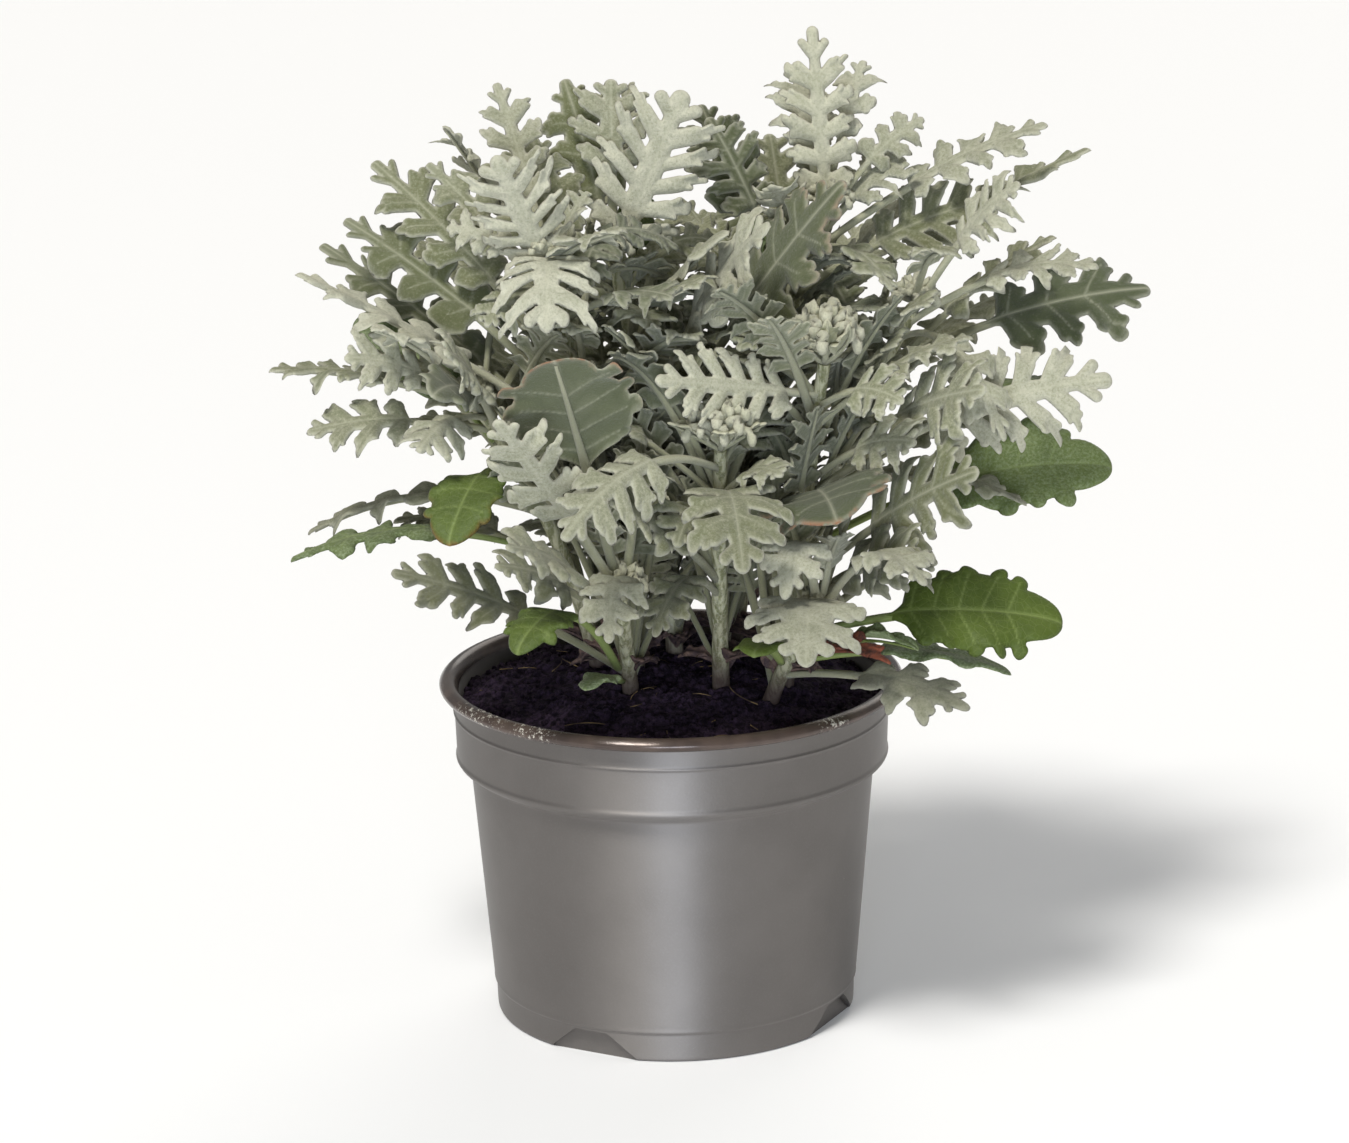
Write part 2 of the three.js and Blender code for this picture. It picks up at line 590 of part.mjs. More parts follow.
// ---------------------------------------------------------------------- bending leaves clear of others
// Triangles with their edges and boxes, ready for a crossing test.
function crossable({ vertices, faces }, foot) {
  const corner = (i) => [vertices[3 * i], vertices[3 * i + 1], vertices[3 * i + 2]];
  const triangles = [];
  for (let i = 0; i < faces.length; i += 3) {
    const corners = [corner(faces[i]), corner(faces[i + 1]), corner(faces[i + 2])];
    const low = [0, 1, 2].map((axis) => Math.min(...corners.map((spot) => spot[axis])));
    const high = [0, 1, 2].map((axis) => Math.max(...corners.map((spot) => spot[axis])));
    const nearFoot = !foot || corners.some((spot) => foot.distanceTo(vec(spot)) < ROOT_REACH);
    triangles.push({ corners, low, high, nearFoot });
  }
  const low = [0, 1, 2].map((axis) => Math.min(...triangles.map((t) => t.low[axis])));
  const high = [0, 1, 2].map((axis) => Math.max(...triangles.map((t) => t.high[axis])));
  return { triangles, low, high };
}

const apart = (a, b) => [0, 1, 2].some((axis) => a.high[axis] < b.low[axis] || b.high[axis] < a.low[axis]);

function segmentHitsTriangle(start, end, [a, b, c]) {
  const ray = [end[0] - start[0], end[1] - start[1], end[2] - start[2]];
  const e1 = [b[0] - a[0], b[1] - a[1], b[2] - a[2]];
  const e2 = [c[0] - a[0], c[1] - a[1], c[2] - a[2]];
  const cross = (p, q) => [p[1] * q[2] - p[2] * q[1], p[2] * q[0] - p[0] * q[2], p[0] * q[1] - p[1] * q[0]];
  const dot = (p, q) => p[0] * q[0] + p[1] * q[1] + p[2] * q[2];
  const side = cross(ray, e2);
  const scale = dot(e1, side);
  if (Math.abs(scale) < 1e-12) return false;
  const away = [start[0] - a[0], start[1] - a[1], start[2] - a[2]];
  const u = dot(away, side) / scale;
  if (u < 0 || u > 1) return false;
  const turned = cross(away, e1);
  const v = dot(ray, turned) / scale;
  if (v < 0 || u + v > 1) return false;
  const t = dot(e2, turned) / scale;
  return t >= 0 && t <= 1;
}

function trianglesCross(a, b) {
  for (let i = 0; i < 3; i++) {
    if (segmentHitsTriangle(a.corners[i], a.corners[(i + 1) % 3], b.corners)) return true;
    if (segmentHitsTriangle(b.corners[i], b.corners[(i + 1) % 3], a.corners)) return true;
  }
  return false;
}

// Leaves of the same stem may meet near their feet, where they are fused to it.
function solidsCross(a, b, sameStem) {
  if (apart(a, b)) return false;
  const nearB = a.triangles.filter((t) => !apart(t, b) && !(sameStem && t.nearFoot));
  if (!nearB.length) return false;
  const nearA = b.triangles.filter((t) => !apart(t, a) && !(sameStem && t.nearFoot));
  return nearB.some((t) => nearA.some((s) => !apart(t, s) && trianglesCross(t, s)));
}

// The bends that a leaf tries in turn, as moves of its tip and a roll. Moves in depth come first.
const BEND_STEP = { x: 3, y: 7, z: 5, roll: 18 };
const BEND_WAYS = [
  [0, 1, 0], [0, -1, 0], [0, 0, 1], [0, 0, -1], [0, 1, 1],
  [0, -1, 1], [0, 1, -1], [0, -1, -1], [1, 0, 0], [-1, 0, 0],
];
const BENDS = [{ move: new THREE.Vector3(), roll: 0 }];
for (const size of [1, 2, 3]) {
  for (const [x, y, z] of BEND_WAYS) {
    const move = new THREE.Vector3(BEND_STEP.x * x, BEND_STEP.y * y, BEND_STEP.z * z).multiplyScalar(size);
    for (const turn of [0, 1, -1]) BENDS.push({ move, roll: BEND_STEP.roll * turn });
  }
}

// Room for a leaf: over the soil and the pot's lip, and clear of what stands already in other solids.
function hasRoom(plan, owner, standing) {
  const thick = crossable(leafArrays(plan, CLEARANCE), plan.foot);
  const footRadius = Math.hypot(plan.foot.x, plan.foot.y);
  const tooLow = ([x, y, z]) => {
    const radius = Math.hypot(x, y);
    if (radius > POT.lipRadius + 1.5 || radius < footRadius + ROOT_REACH) return false;
    return z < ABOVE + (radius > POT.footRadius ? POT.height : SOIL.domeHeight);
  };
  if (thick.triangles.some(({ corners }) => corners.some(tooLow))) return false;
  return !standing.some((other) => solidsCross(thick, other.shape, other.owner === owner));
}

// Bends a leaf clear of the leaves and stems of other solids. Gives the leaf as it then stands, or nothing.
function settle(plan, owner, standing) {
  for (const { move, roll } of BENDS) {
    const bent = { ...plan, tip: plan.tip.clone().add(move), roll: plan.roll + roll };
    if (!hasRoom(bent, owner, standing)) continue;
    standing.push({ owner, shape: crossable(leafArrays(bent), bent.foot) });
    return bent;
  }
  return null;
}

// ---------------------------------------------------------------------------------------- pot and soil
// A profile of radii and heights turned about the pot's axis.
function lathed(profile) {
  const spots = profile.map(([radius, height]) => new THREE.Vector2(radius, height));
  return new THREE.LatheGeometry(spots, POT.segments).rotateX(Math.PI / 2);
}

function potSolid() {
  const inner = (radius) => radius - POT.wall;
  const lipFoot = POT.height - POT.lipBand;
  const profile = [
    [0, 0],
    [POT.discRadius, 0],
    [POT.discRadius + 2, POT.footLift],
    [POT.footRadius - 8, POT.footLift],
    [POT.footRadius - 5, 0],
    [POT.footRadius, 0],
    [POT.footRadius + 0.3, POT.footRidge],
    [POT.footRadius + 0.8, POT.footRidge + 1],
    [POT.wallTopRadius, POT.stepHeight - 1.5],
    [POT.collarRadius, POT.stepHeight + 1],
    [POT.collarRadius + 0.3, lipFoot - 0.4],
    [POT.lipRadius - 0.3, lipFoot],
    [POT.lipRadius, POT.height - 1.2],
    [POT.lipRadius - 2, POT.height],
    [inner(POT.collarRadius), POT.height - 3],
    [inner(POT.collarRadius), POT.stepHeight + 1],
    [inner(POT.wallTopRadius), POT.stepHeight - 1.5],
    [inner(POT.footRadius) - 2, POT.floorTop],
    [0, POT.floorTop],
  ];
  let pot = solidFromGeometry(lathed(profile));
  // Each notch is cut from the foot ring alone, so the wall behind it stays whole.
  const ring = solidFromGeometry(
    lathed([
      [POT.footRadius - 7, -2],
      [POT.footRadius + 4, -2],
      [POT.footRadius + 4, 12],
      [POT.footRadius - 2.6, 12],
      [POT.footRadius - 2.6, 3],
      [POT.footRadius - 7, 1.6],
      [POT.footRadius - 7, -2],
    ]),
  );
  for (let i = 0; i < NOTCH.count; i++) {
    const angle = NOTCH.firstAngle + (i * 360) / NOTCH.count;
    const shape = new THREE.Shape([
      new THREE.Vector2(-NOTCH.bottomWidth / 2, -1),
      new THREE.Vector2(NOTCH.bottomWidth / 2, -1),
      new THREE.Vector2(NOTCH.topWidth / 2, NOTCH.height),
      new THREE.Vector2(-NOTCH.topWidth / 2, NOTCH.height),
    ]);
    const block = new THREE.ExtrudeGeometry(shape, { depth: 14, bevelEnabled: false });
    block.rotateX(Math.PI / 2);
    block.translate(0, -(POT.footRadius - 10), 0);
    block.rotateZ(radians(angle));
    pot = pot.subtract(solidFromGeometry(block).intersect(ring));
  }
  for (let i = 0; i < DRAIN.count; i++) {
    const angle = radians((i * 360) / DRAIN.count);
    const hole = new THREE.CylinderGeometry(DRAIN.radius, DRAIN.radius, POT.floorTop * 3, DRAIN.sides);
    hole.rotateX(Math.PI / 2);
    hole.translate(DRAIN.circle * Math.cos(angle), DRAIN.circle * Math.sin(angle), POT.floorTop / 2);
    pot = pot.subtract(solidFromGeometry(hole));
  }
  return pot;
}

function soilSolid() {
  const random = seeded(3);
  const inner = (radius) => radius - POT.wall - FIT_GAP;
  const edge = inner(POT.collarRadius) - 0.3;
  const profile = [
    [0, POT.floorTop + FIT_GAP],
    [inner(POT.footRadius) - 2.2, POT.floorTop + FIT_GAP],
    [inner(POT.wallTopRadius) - 0.2, POT.stepHeight - 1.4],
    [edge, POT.stepHeight + 1.6],
    [edge, SOIL.edgeHeight],
  ];
  for (let i = 1; i < SOIL.rings; i++) {
    const share = 1 - i / SOIL.rings;
    const rise = (SOIL.domeHeight - SOIL.edgeHeight) * (1 - share * share);
    profile.push([edge * share, SOIL.edgeHeight + rise]);
  }
  profile.push([0, SOIL.domeHeight]);
  const merged = mergedGeometry(lathed(profile));
  const spots = merged.attributes.position;
  for (let i = 0; i < spots.count; i++) {
    const radius = Math.hypot(spots.getX(i), spots.getY(i));
    const onTop = spots.getZ(i) > SOIL.edgeHeight + 0.2 && radius < edge - 3;
    if (onTop) spots.setZ(i, spots.getZ(i) + SOIL.roughness * 2 * (random() - 0.5));
  }
  const plug = solidFromArrays(spots.array, merged.index.array);
  return Object.values(SHOOTS).reduce((soil, shoot) => {
    const { vertices, faces } = stemArrays(shoot, HOLE_GAP);
    return soil.subtract(solidFromArrays(vertices, faces));
  }, plug);
}

// ------------------------------------------------------------------------------------------- materials
function finish(color, roughness, metalness = 0) {
  return new THREE.MeshStandardMaterial({ color, roughness, metalness });
}
const MATERIALS = {
  pot: finish(0x8b8178, 0.45, 0.1),
  soil: finish(0x2c2019, 0.95),
  silver: finish(0xb9bcaa, 0.85),
  green: finish(0x5a7038, 0.7),
  dry: finish(0x7a3f22, 0.85),
};

// -------------------------------------------------------------------------------------------- assembly
const group = new THREE.Group();
const shoots = Object.entries(SHOOTS);
addFarLeaves();
for (const [, shoot] of shoots) if (shoot.head) addHeadLeaves(shoot);

// What stands already, as shapes for the crossing test, and the leaves that have found room on each stem.
const standing = shoots.map(([name, shoot]) => ({ owner: name, shape: crossable(stemArrays(shoot)) }));
const grown = Object.fromEntries(shoots.map(([name]) => [name, []]));
let nextSeed = 100;

// Plants a leaf's foot in its stem, or at a distance of `gap` beside it, and bends it clear of the others.
function grow(plan, shoot, owner, gap = 0) {
  const { point, along } = onStem(shoot, plan.at);
  const tip = vec(plan.tip);
  const out = tip.clone().sub(point);
  out.addScaledVector(along, -out.dot(along)).normalize();
  const planted = { ...plan, tip, foot: point.addScaledVector(out, gap), seed: nextSeed };
  nextSeed += 1;
  const settled = settle(planted, owner, standing);
  if (!settled && !plan.farSide) throw new Error(`a leaf of ${owner} has no room at ${plan.tip}`);
  return settled;
}

function growShoots(farSide) {
  for (const [name, shoot] of shoots) {
    for (const plan of shoot.leaves.filter((one) => Boolean(one.farSide) === farSide)) {
      const settled = grow(plan, shoot, name);
      if (settled) grown[name].push(settled);
    }
  }
}

// A leaf that is a solid of its own.
function addOwnLeaf(name, [stem, plan], material) {
  const { vertices, faces } = leafArrays(grow(plan, SHOOTS[stem], name, STEM.footRadius + FOOT_GAP));
  group.add(meshFromSolid(name, solidFromArrays(vertices, faces), material));
}

growShoots(false);
for (const [name, entry] of Object.entries(GREEN_LEAVES)) addOwnLeaf(name, entry, MATERIALS.green);
addOwnLeaf('dry_leaf', DRY_LEAF, MATERIALS.dry);
growShoots(true);

for (const [name, shoot] of shoots) {
  const pieces = [stemArrays(shoot), ...grown[name].map((plan) => leafArrays(plan))];
  const solids = pieces.map(({ vertices, faces }) => solidFromArrays(vertices, faces));
  const bud = new THREE.IcosahedronGeometry(shoot.head ? BUD.headRadius : BUD.radius, 0);
  bud.translate(...shoot.top);
  solids.push(solidFromGeometry(bud));
  group.add(meshFromSolid(`leafy_stem_${name}`, fuse(solids), MATERIALS.silver));
}
group.add(meshFromSolid('pot', potSolid(), MATERIALS.pot));
group.add(meshFromSolid('soil', soilSolid(), MATERIALS.soil));

export default group;
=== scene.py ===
"""A dusty miller in a 13 cm grower's pot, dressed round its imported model.

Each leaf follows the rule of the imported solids: a kind, a place on its stem, a tip and a width. Here its
blade gets round cut lobes, a soft felted margin, raised veins and its own tone, and the gaps between the
large leaves are filled with small inner ones. Tables and leaf sizes are in millimetres, meshes in metres.
"""

import math
from functools import cached_property

import bmesh
import bpy
import numpy as np
from bpy.props import FloatProperty, FloatVectorProperty, IntProperty, PointerProperty
from mathutils import Matrix, Vector, noise
from mathutils.bvhtree import BVHTree
from mathutils.kdtree import KDTree


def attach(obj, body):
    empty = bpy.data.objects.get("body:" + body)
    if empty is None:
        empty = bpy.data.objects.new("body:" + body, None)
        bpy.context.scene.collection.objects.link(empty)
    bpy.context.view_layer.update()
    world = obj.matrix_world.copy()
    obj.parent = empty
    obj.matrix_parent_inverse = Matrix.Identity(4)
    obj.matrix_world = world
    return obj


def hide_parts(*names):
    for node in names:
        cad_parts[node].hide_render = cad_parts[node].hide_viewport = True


bl_info = {
    "name": "Dusty miller in a pot",
    "version": (1, 0, 0),
    "blender": (4, 5, 0),
    "location": "3D View > Sidebar > Dusty miller",
    "description": "Builds the looks of a potted dusty miller round its packed model",
    "category": "Add Mesh",
}

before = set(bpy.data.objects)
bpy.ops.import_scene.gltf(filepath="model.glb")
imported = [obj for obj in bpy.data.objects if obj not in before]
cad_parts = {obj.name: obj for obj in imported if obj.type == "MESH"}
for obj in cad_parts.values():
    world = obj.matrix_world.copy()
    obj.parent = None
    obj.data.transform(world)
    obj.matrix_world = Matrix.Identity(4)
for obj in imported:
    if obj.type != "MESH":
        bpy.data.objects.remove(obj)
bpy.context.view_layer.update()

MM = 0.001
UP = np.array([0.0, 0.0, 1.0])
GOLDEN_ANGLE = math.pi * (3 - math.sqrt(5))

# ------------------------------------------------------- the plant's rule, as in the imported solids
STEM = {"foot_radius": 2.6, "top_radius": 1.7, "foot_height": 80.0}
FOOT_GAP = 1.6  # from a stem's surface to the foot of a leaf that is a piece of its own
PACKED_BLADE = 0.7  # thickness of a packed leaf's blade
LOBE = {"start": 0.05, "end": 0.76, "lean": 74, "lean_fall": 37, "lean_spread": 6, "rise": 0.1}
LOBE_ENDS = (((1, 0),), ((0.84, -0.9), (1, 0.6)), ((0.72, -1), (1, -0.2), (0.86, 0.95)))
WAVE = {"per_millimetre": 0.45, "side_shift": 1.3}
CROWN = {"centre": np.array([8, 4, 184]), "reach": np.array([108, 98, 88])}
FAR_SIDE = {
    "turns": 66,
    "seed": 21,
    "front_limit": 0.1,
    "lowest": -0.88,
    "wide": 22,
    "stems": ("back_left", "back_right", "left_crown", "middle_top", "right_top", "right_side", "left_side"),
}
FIRST_SEED = 100

# Pairs of side lobes, teeth on a lobe, how far the web reaches out to the lobes' tips, half the width of
# a lobe as a share of their spacing, the share of the leaf's length that is blade, and the fold of its
# halves in degrees.
KINDS = {
    "hero": {"pairs": 5, "teeth": 2, "web": 0.24, "lobe": 0.41, "blade": 0.7, "fold": 8},
    "cut": {"pairs": 4, "teeth": 1, "web": 0.27, "lobe": 0.42, "blade": 0.62, "fold": 10},
    "small": {"pairs": 3, "teeth": 1, "web": 0.32, "lobe": 0.43, "blade": 0.6, "fold": 12},
    "broad": {"pairs": 3, "teeth": 1, "web": 0.5, "lobe": 0.42, "blade": 0.62, "fold": 6},
    "scalloped": {"pairs": 4, "teeth": 0, "web": 0.84, "lobe": 0.42, "blade": 0.62, "fold": 8},
    "entire": {"pairs": 3, "teeth": 0, "web": 0.98, "lobe": 0.42, "blade": 0.7, "fold": 8},
    "young": {"pairs": 2, "teeth": 0, "web": 0.5, "lobe": 0.42, "blade": 0.85, "fold": 14},
}


def leaf(kind, at, tip, wide, **more):
    """One leaf as a plan: its foot and tip, the rise of its arch, and its roll about its own length."""
    plan = {"at": at, "tip": np.array(tip, float), "wide": wide, "lift": 8, "sway": 0, "roll": 0, "curl": 0}
    plan.update({"wave": 1.2, "bulge": 0, "heading": None, "kind": kind})
    return {**KINDS[kind], **plan, **more}


def new_shoot(foot, by, top, *leaves, **head):
    """One stem: where it stands, the point that its curve bends towards, its top, and the leaves on it."""
    return {"foot": foot, "by": by, "top": top, "leaves": list(leaves), **head}


SHOOTS = {
    "left_crown": new_shoot(
        (-8, -5),
        (-13, -12, 150),
        (-31, -28, 218),
        leaf("hero", 1, (-44, -38, 250), 26, heading=90, blade=0.94, lift=-2, tone=1.0),
        leaf("cut", 1, (-31, -56, 206), 27, blade=0.85, lift=15, tone=1.0),
        leaf("small", 1, (-12, -50, 231), 17, blade=0.85, lift=3),
        leaf("cut", 0.92, (-45, 5, 262), 15, heading=90, lift=6),
        leaf("small", 0.84, (-64, 0, 241), 14, roll=-50),
        leaf("small", 0.95, (-58, -25, 228), 12, roll=-50),
        leaf("cut", 0.72, (-80, 20, 238), 20, roll=-40, tone=0.4),
        leaf("small", 0.66, (-88, 8, 223), 17, roll=-50, tone=0.2),
        leaf("cut", 0.55, (-96, 30, 213), 18, roll=-30, tone=0.15),
        leaf("small", 1, (-20, -18, 236), 12, heading=45, lift=6, bulge=4, blade=0.85, curl=1.2),
        leaf("broad", 0.85, (-36, 6, 246), 20, heading=90, tone=0.45),
        leaf("cut", 0.62, (-100, -10, 213), 22, lift=5, tone=0.85),
    ),
    "middle_top": new_shoot(
        (2, 6),
        (0, 10, 150),
        (-14, 2, 213),
        leaf("hero", 1, (6, 6, 259), 31, heading=90, blade=0.93, lift=2, tone=1.0),
        leaf("broad", 0.88, (-27, 22, 260), 20, heading=90, tone=0.3),
        leaf("cut", 0.66, (28, -38, 230), 24, roll=60, lift=12, blade=0.66, tone=0.75),
        leaf("broad", 0.58, (49, -15, 237), 29, roll=55, lift=6, pairs=4, tone=0.12, scorch=0.6),
        leaf("scalloped", 0.8, (17, -28, 226), 12, roll=30, pairs=3),
    ),
    "right_top": new_shoot(
        (14, 12),
        (14, 18, 165),
        (45, 18, 222),
        leaf("hero", 1, (41, 20, 274), 19, heading=90, blade=0.94, lift=0, tone=1.0, fresh=0.1),
        leaf("small", 0.97, (56, 34, 262), 15, heading=60),
        leaf("small", 0.74, (10, 36, 250), 20, heading=110, tone=0.05),
        leaf("cut", 0.8, (12, 20, 249), 20, roll=-60, tone=0.1),
        leaf("small", 0.88, (29, 0, 234), 14, heading=90),
        leaf("small", 0.98, (72, 25, 247), 12, roll=60),
        leaf("cut", 0.8, (93, 20, 225), 26, roll=40),
        leaf("cut", 0.9, (106, 30, 245), 20),
        leaf("cut", 0.7, (120, 45, 234), 20),
    ),
    "right_side": new_shoot(
        (25, 8),
        (37, 4, 148),
        (68, 2, 198),
        leaf("cut", 1, (96, -10, 235), 20, roll=45, tone=0.75),
        leaf("cut", 0.96, (117, -12, 212), 18, lift=12, roll=15),
        leaf("broad", 0.84, (134, 15, 200), 26, roll=40, tone=0.05),
        leaf("small", 0.92, (90, -35, 170), 16, lift=24),
        leaf("cut", 0.6, (84, -45, 188), 24, roll=60, tone=0.5),
        leaf("small", 0.5, (98, -12, 146), 12, lift=16),
    ),
    "centre_rosette": new_shoot(
        (14, -13),
        (13, -30, 135),
        (14, -47, 172),
        leaf("small", 0.72, (19, -88, 149), 27, lift=26, blade=0.7),
        leaf("small", 0.8, (30, -62, 163), 14, lift=8, roll=20),
        leaf("broad", 0.5, (-15, -80, 166), 22, roll=-45, tone=0.3),
        leaf("cut", 0.92, (-27, -86, 160), 20, lift=20, roll=-30, fold=-14),
        leaf("small", 0.6, (2, -72, 142), 18, lift=20),
        leaf("small", 0.45, (-4, -66, 126), 16, lift=20),
        head={"count": 5, "reach": 13, "rise": 10, "wide": 8, "seed": 6},
    ),
    "ball_head": new_shoot(
        (30, -12),
        (36, -24, 148),
        (42, -34, 192),
        leaf("hero", 0.9, (-3, -56, 193), 21, roll=-65, lift=0, blade=0.85, tone=0.8),
        leaf("hero", 0.6, (121, -26, 191), 27, roll=60, lift=14, blade=0.64, tone=0.85),
        leaf("cut", 0.35, (82, -56, 167), 26, roll=60),
        leaf("scalloped", 0.56, (44, -80, 158), 34, lift=12, tone=0.05, scorch=1.0),
        leaf("small", 0.64, (66, -52, 172), 20, roll=40),
        leaf("small", 0.8, (82, -30, 197), 18),
        leaf("small", 0.86, (62, -56, 186), 16, roll=50),
        leaf("small", 0.3, (66, -60, 148), 20, roll=40),
        head={"count": 7, "reach": 7, "rise": 13, "wide": 9, "bulge": 7, "seed": 9},
    ),
    "right_low": new_shoot(
        (23, -20),
        (30, -31, 111),
        (40, -44, 124),
        leaf("broad", 0.9, (35, -89, 124), 30, lift=22, blade=0.66, tone=0.8),
        leaf("broad", 1, (30, -74, 138), 19, lift=34, tone=0.85),
        leaf("small", 1, (45, -64, 150), 14, lift=8, curl=1.5),
        leaf("small", 1, (66, -70, 134), 17, lift=24),
        leaf("broad", 0.45, (79, -64, 104), 18, lift=8, roll=20, tone=0.72),
        leaf("small", 0.8, (72, -40, 138), 18, lift=10, roll=30),
    ),
    "left_low": new_shoot(
        (-10, -14),
        (-12, -27, 112),
        (-13, -41, 130),
        leaf("hero", 1, (-44, -76, 188), 21, heading=90, blade=0.62, pairs=4, lift=4, tone=0.75),
        leaf("scalloped", 0.95, (-29, -66, 201), 36, heading=270, lift=4, blade=0.45, tone=0.0, scorch=1.0),
        leaf("small", 0.8, (-42, -82, 155), 17, roll=-40),
        leaf("cut", 0.4, (-74, -50, 140), 19, roll=-45, tone=0.4),
        leaf("small", 0.9, (-16, -78, 128), 17, lift=24),
        leaf("small", 0.7, (-46, -60, 144), 17, roll=-40),
    ),
    "left_side": new_shoot(
        (-17, 3),
        (-26, -2, 140),
        (-52, -10, 176),
        leaf("cut", 1, (-109, 0, 184), 20, lift=6, tone=0.35),
        leaf("small", 0.96, (-86, -30, 194), 18, roll=-50),
        leaf("small", 0.9, (-98, -15, 170), 18, roll=-30, lift=6),
        leaf("small", 0.6, (-100, 2, 137), 16, lift=16),
        leaf("small", 0.95, (-66, -46, 172), 16, roll=-20, fold=-12),
        leaf("scalloped", 0.97, (-62, -50, 188), 15, roll=-40, pairs=3, tone=0.1),
        leaf("small", 1, (-78, -36, 208), 14, roll=-20),
        leaf("cut", 0.86, (-58, -52, 200), 20, roll=-55),
        leaf("small", 1, (-80, -20, 198), 16, roll=-30),
    ),
    "back_left": new_shoot((-9, 20), (-13, 30, 145), (-30, 50, 194)),
    "back_right": new_shoot((16, 27), (24, 38, 145), (40, 54, 196)),
}

# The older leaves, whose felt has gone, and a dry one: the stem that each grows from, then the leaf as
# above.
OWN_LEAVES = {
    "green_leaf_upper_left": (
        "left_side",
        leaf("entire", 0.86, (-86, 6, 204), 18, roll=-55, blade=0.75, tone=0.1, bloom=0.6),
    ),
    "green_leaf_side_left": (
        "left_side",
        leaf("entire", 0.75, (-58, -56, 149), 20, lift=20, blade=0.5, tone=0.6, bloom=0.12, scorch=0.5),
    ),
    "green_leaf_low_left": (
        "left_side",
        leaf("broad", 0.5, (-103, -22, 136), 15, lift=14, tone=0.2, bloom=0.5),
    ),
    "green_leaf_hanging": (
        "left_low",
        leaf("scalloped", 0.5, (-40, -74, 124), 17, lift=26, blade=0.45, tone=0.45, bloom=0.1),
    ),
    "green_leaf_on_soil": (
        "left_low",
        leaf("entire", 0.42, (-23, -54, 108), 9, lift=3, tone=0.5, bloom=0.9),
    ),
    "green_leaf_top_middle": (
        "middle_top",
        leaf("entire", 0.9, (-7, 27, 228), 10, heading=90, tone=0.0, bloom=0.15),
    ),
    "green_leaf_top_right": (
        "right_top",
        leaf("entire", 0.72, (24, 2, 228), 13, roll=-50, tone=0.0, bloom=0.15),
    ),
    "green_leaf_right_thin": (
        "right_side",
        leaf("entire", 0.7, (114, 10, 176), 8, lift=6, tone=0.5, bloom=0.5),
    ),
    "green_leaf_right_broad": (
        "right_side",
        leaf("scalloped", 0.42, (123, -2, 152), 29, lift=14, roll=40, pairs=4, tone=1.0, bloom=0.45),
    ),
    "green_leaf_right_low": (
        "right_low",
        leaf("scalloped", 0.9, (106, -36, 119), 28, roll=40, blade=0.72, pairs=5, tone=0.6, bloom=0.05),
    ),
    "green_leaf_front": ("right_low", leaf("entire", 0.6, (22, -62, 119), 15, lift=6, tone=1.0, bloom=0.1)),
    "green_leaf_folded": (
        "right_low",
        leaf("entire", 0.7, (66, -48, 118), 8, lift=6, fold=40, tone=0.6, bloom=0.6),
    ),
    "green_leaf_rim": ("right_low", leaf("entire", 0.62, (92, -46, 106), 13, lift=8, tone=0.4, bloom=0.7)),
    "dry_leaf": ("right_low", leaf("young", 0.7, (58, -60, 118), 9, lift=5, curl=1.4)),
}


def draws(seed):
    """Seeded numbers from 0 to 1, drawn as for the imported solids."""
    word = 0xFFFFFFFF
    state = seed
    while True:
        state = (state + 0x6D2B79F5) & word
        mixed = (state ^ state >> 15) * (1 | state) & word
        mixed = (mixed + ((mixed ^ mixed >> 7) * (61 | mixed) & word) & word) ^ mixed
        yield (mixed ^ mixed >> 14) / 4294967296


def unit(vectors):
    """Vectors at a length of 1."""
    return vectors / np.linalg.norm(vectors, axis=-1, keepdims=True)


def quadratic(start, middle, end, t):
    """Points and directions of a quadratic curve at the shares t; past its end it runs straight on."""
    t = np.atleast_1d(np.asarray(t, float))[:, None]
    inside = np.minimum(t, 1)
    points = start * (1 - inside) ** 2 + middle * 2 * inside * (1 - inside) + end * inside**2
    slope = (middle - start) * 2 * (1 - inside) + (end - middle) * 2 * inside
    return points + slope * (t - inside), unit(slope)


def stem_line(shoot):
    """The foot, the middle point and the top of a stem's curve."""
    foot = np.array([*shoot["foot"], STEM["foot_height"]], float)
    return foot, np.array(shoot["by"], float), np.array(shoot["top"], float)


def on_stem(shoot, at):
    """The point at a share of a stem's curve, and the stem's direction there."""
    points, along = quadratic(*stem_line(shoot), at)
    return points[0], along[0]


def leaf_line(plan):
    """The curve that a leaf follows, the way it faces outwards, and how long its blade and its stalk are."""
    foot, tip = plan["foot"], plan["tip"]
    chord = tip - foot
    outward = np.array([chord[0], chord[1], 0.0])
    if plan["heading"] is not None:
        heading = math.radians(plan["heading"])
        outward = np.array([math.cos(heading), math.sin(heading), 0.0])
    outward = unit(outward)
    across = np.cross(UP, outward)
    middle = foot + chord / 2 + UP * plan["lift"] + across * plan["sway"] + outward * plan["bulge"]
    points = quadratic(foot, middle, tip, np.linspace(0, 1, 13))[0]
    whole = np.linalg.norm(np.diff(points, axis=0), axis=1).sum()
    blade = whole * plan["blade"]
    stalk = whole - blade
    return {"foot": foot, "middle": middle, "tip": tip, "outward": outward, "blade": blade, "stalk": stalk}


def opened(plan):
    """A leaf with the phase of its waves, the line it follows, and the draws that shape its lobes."""
    draw = draws(plan["seed"])
    return {**plan, "phase": 6 * next(draw)}, leaf_line(plan), draw


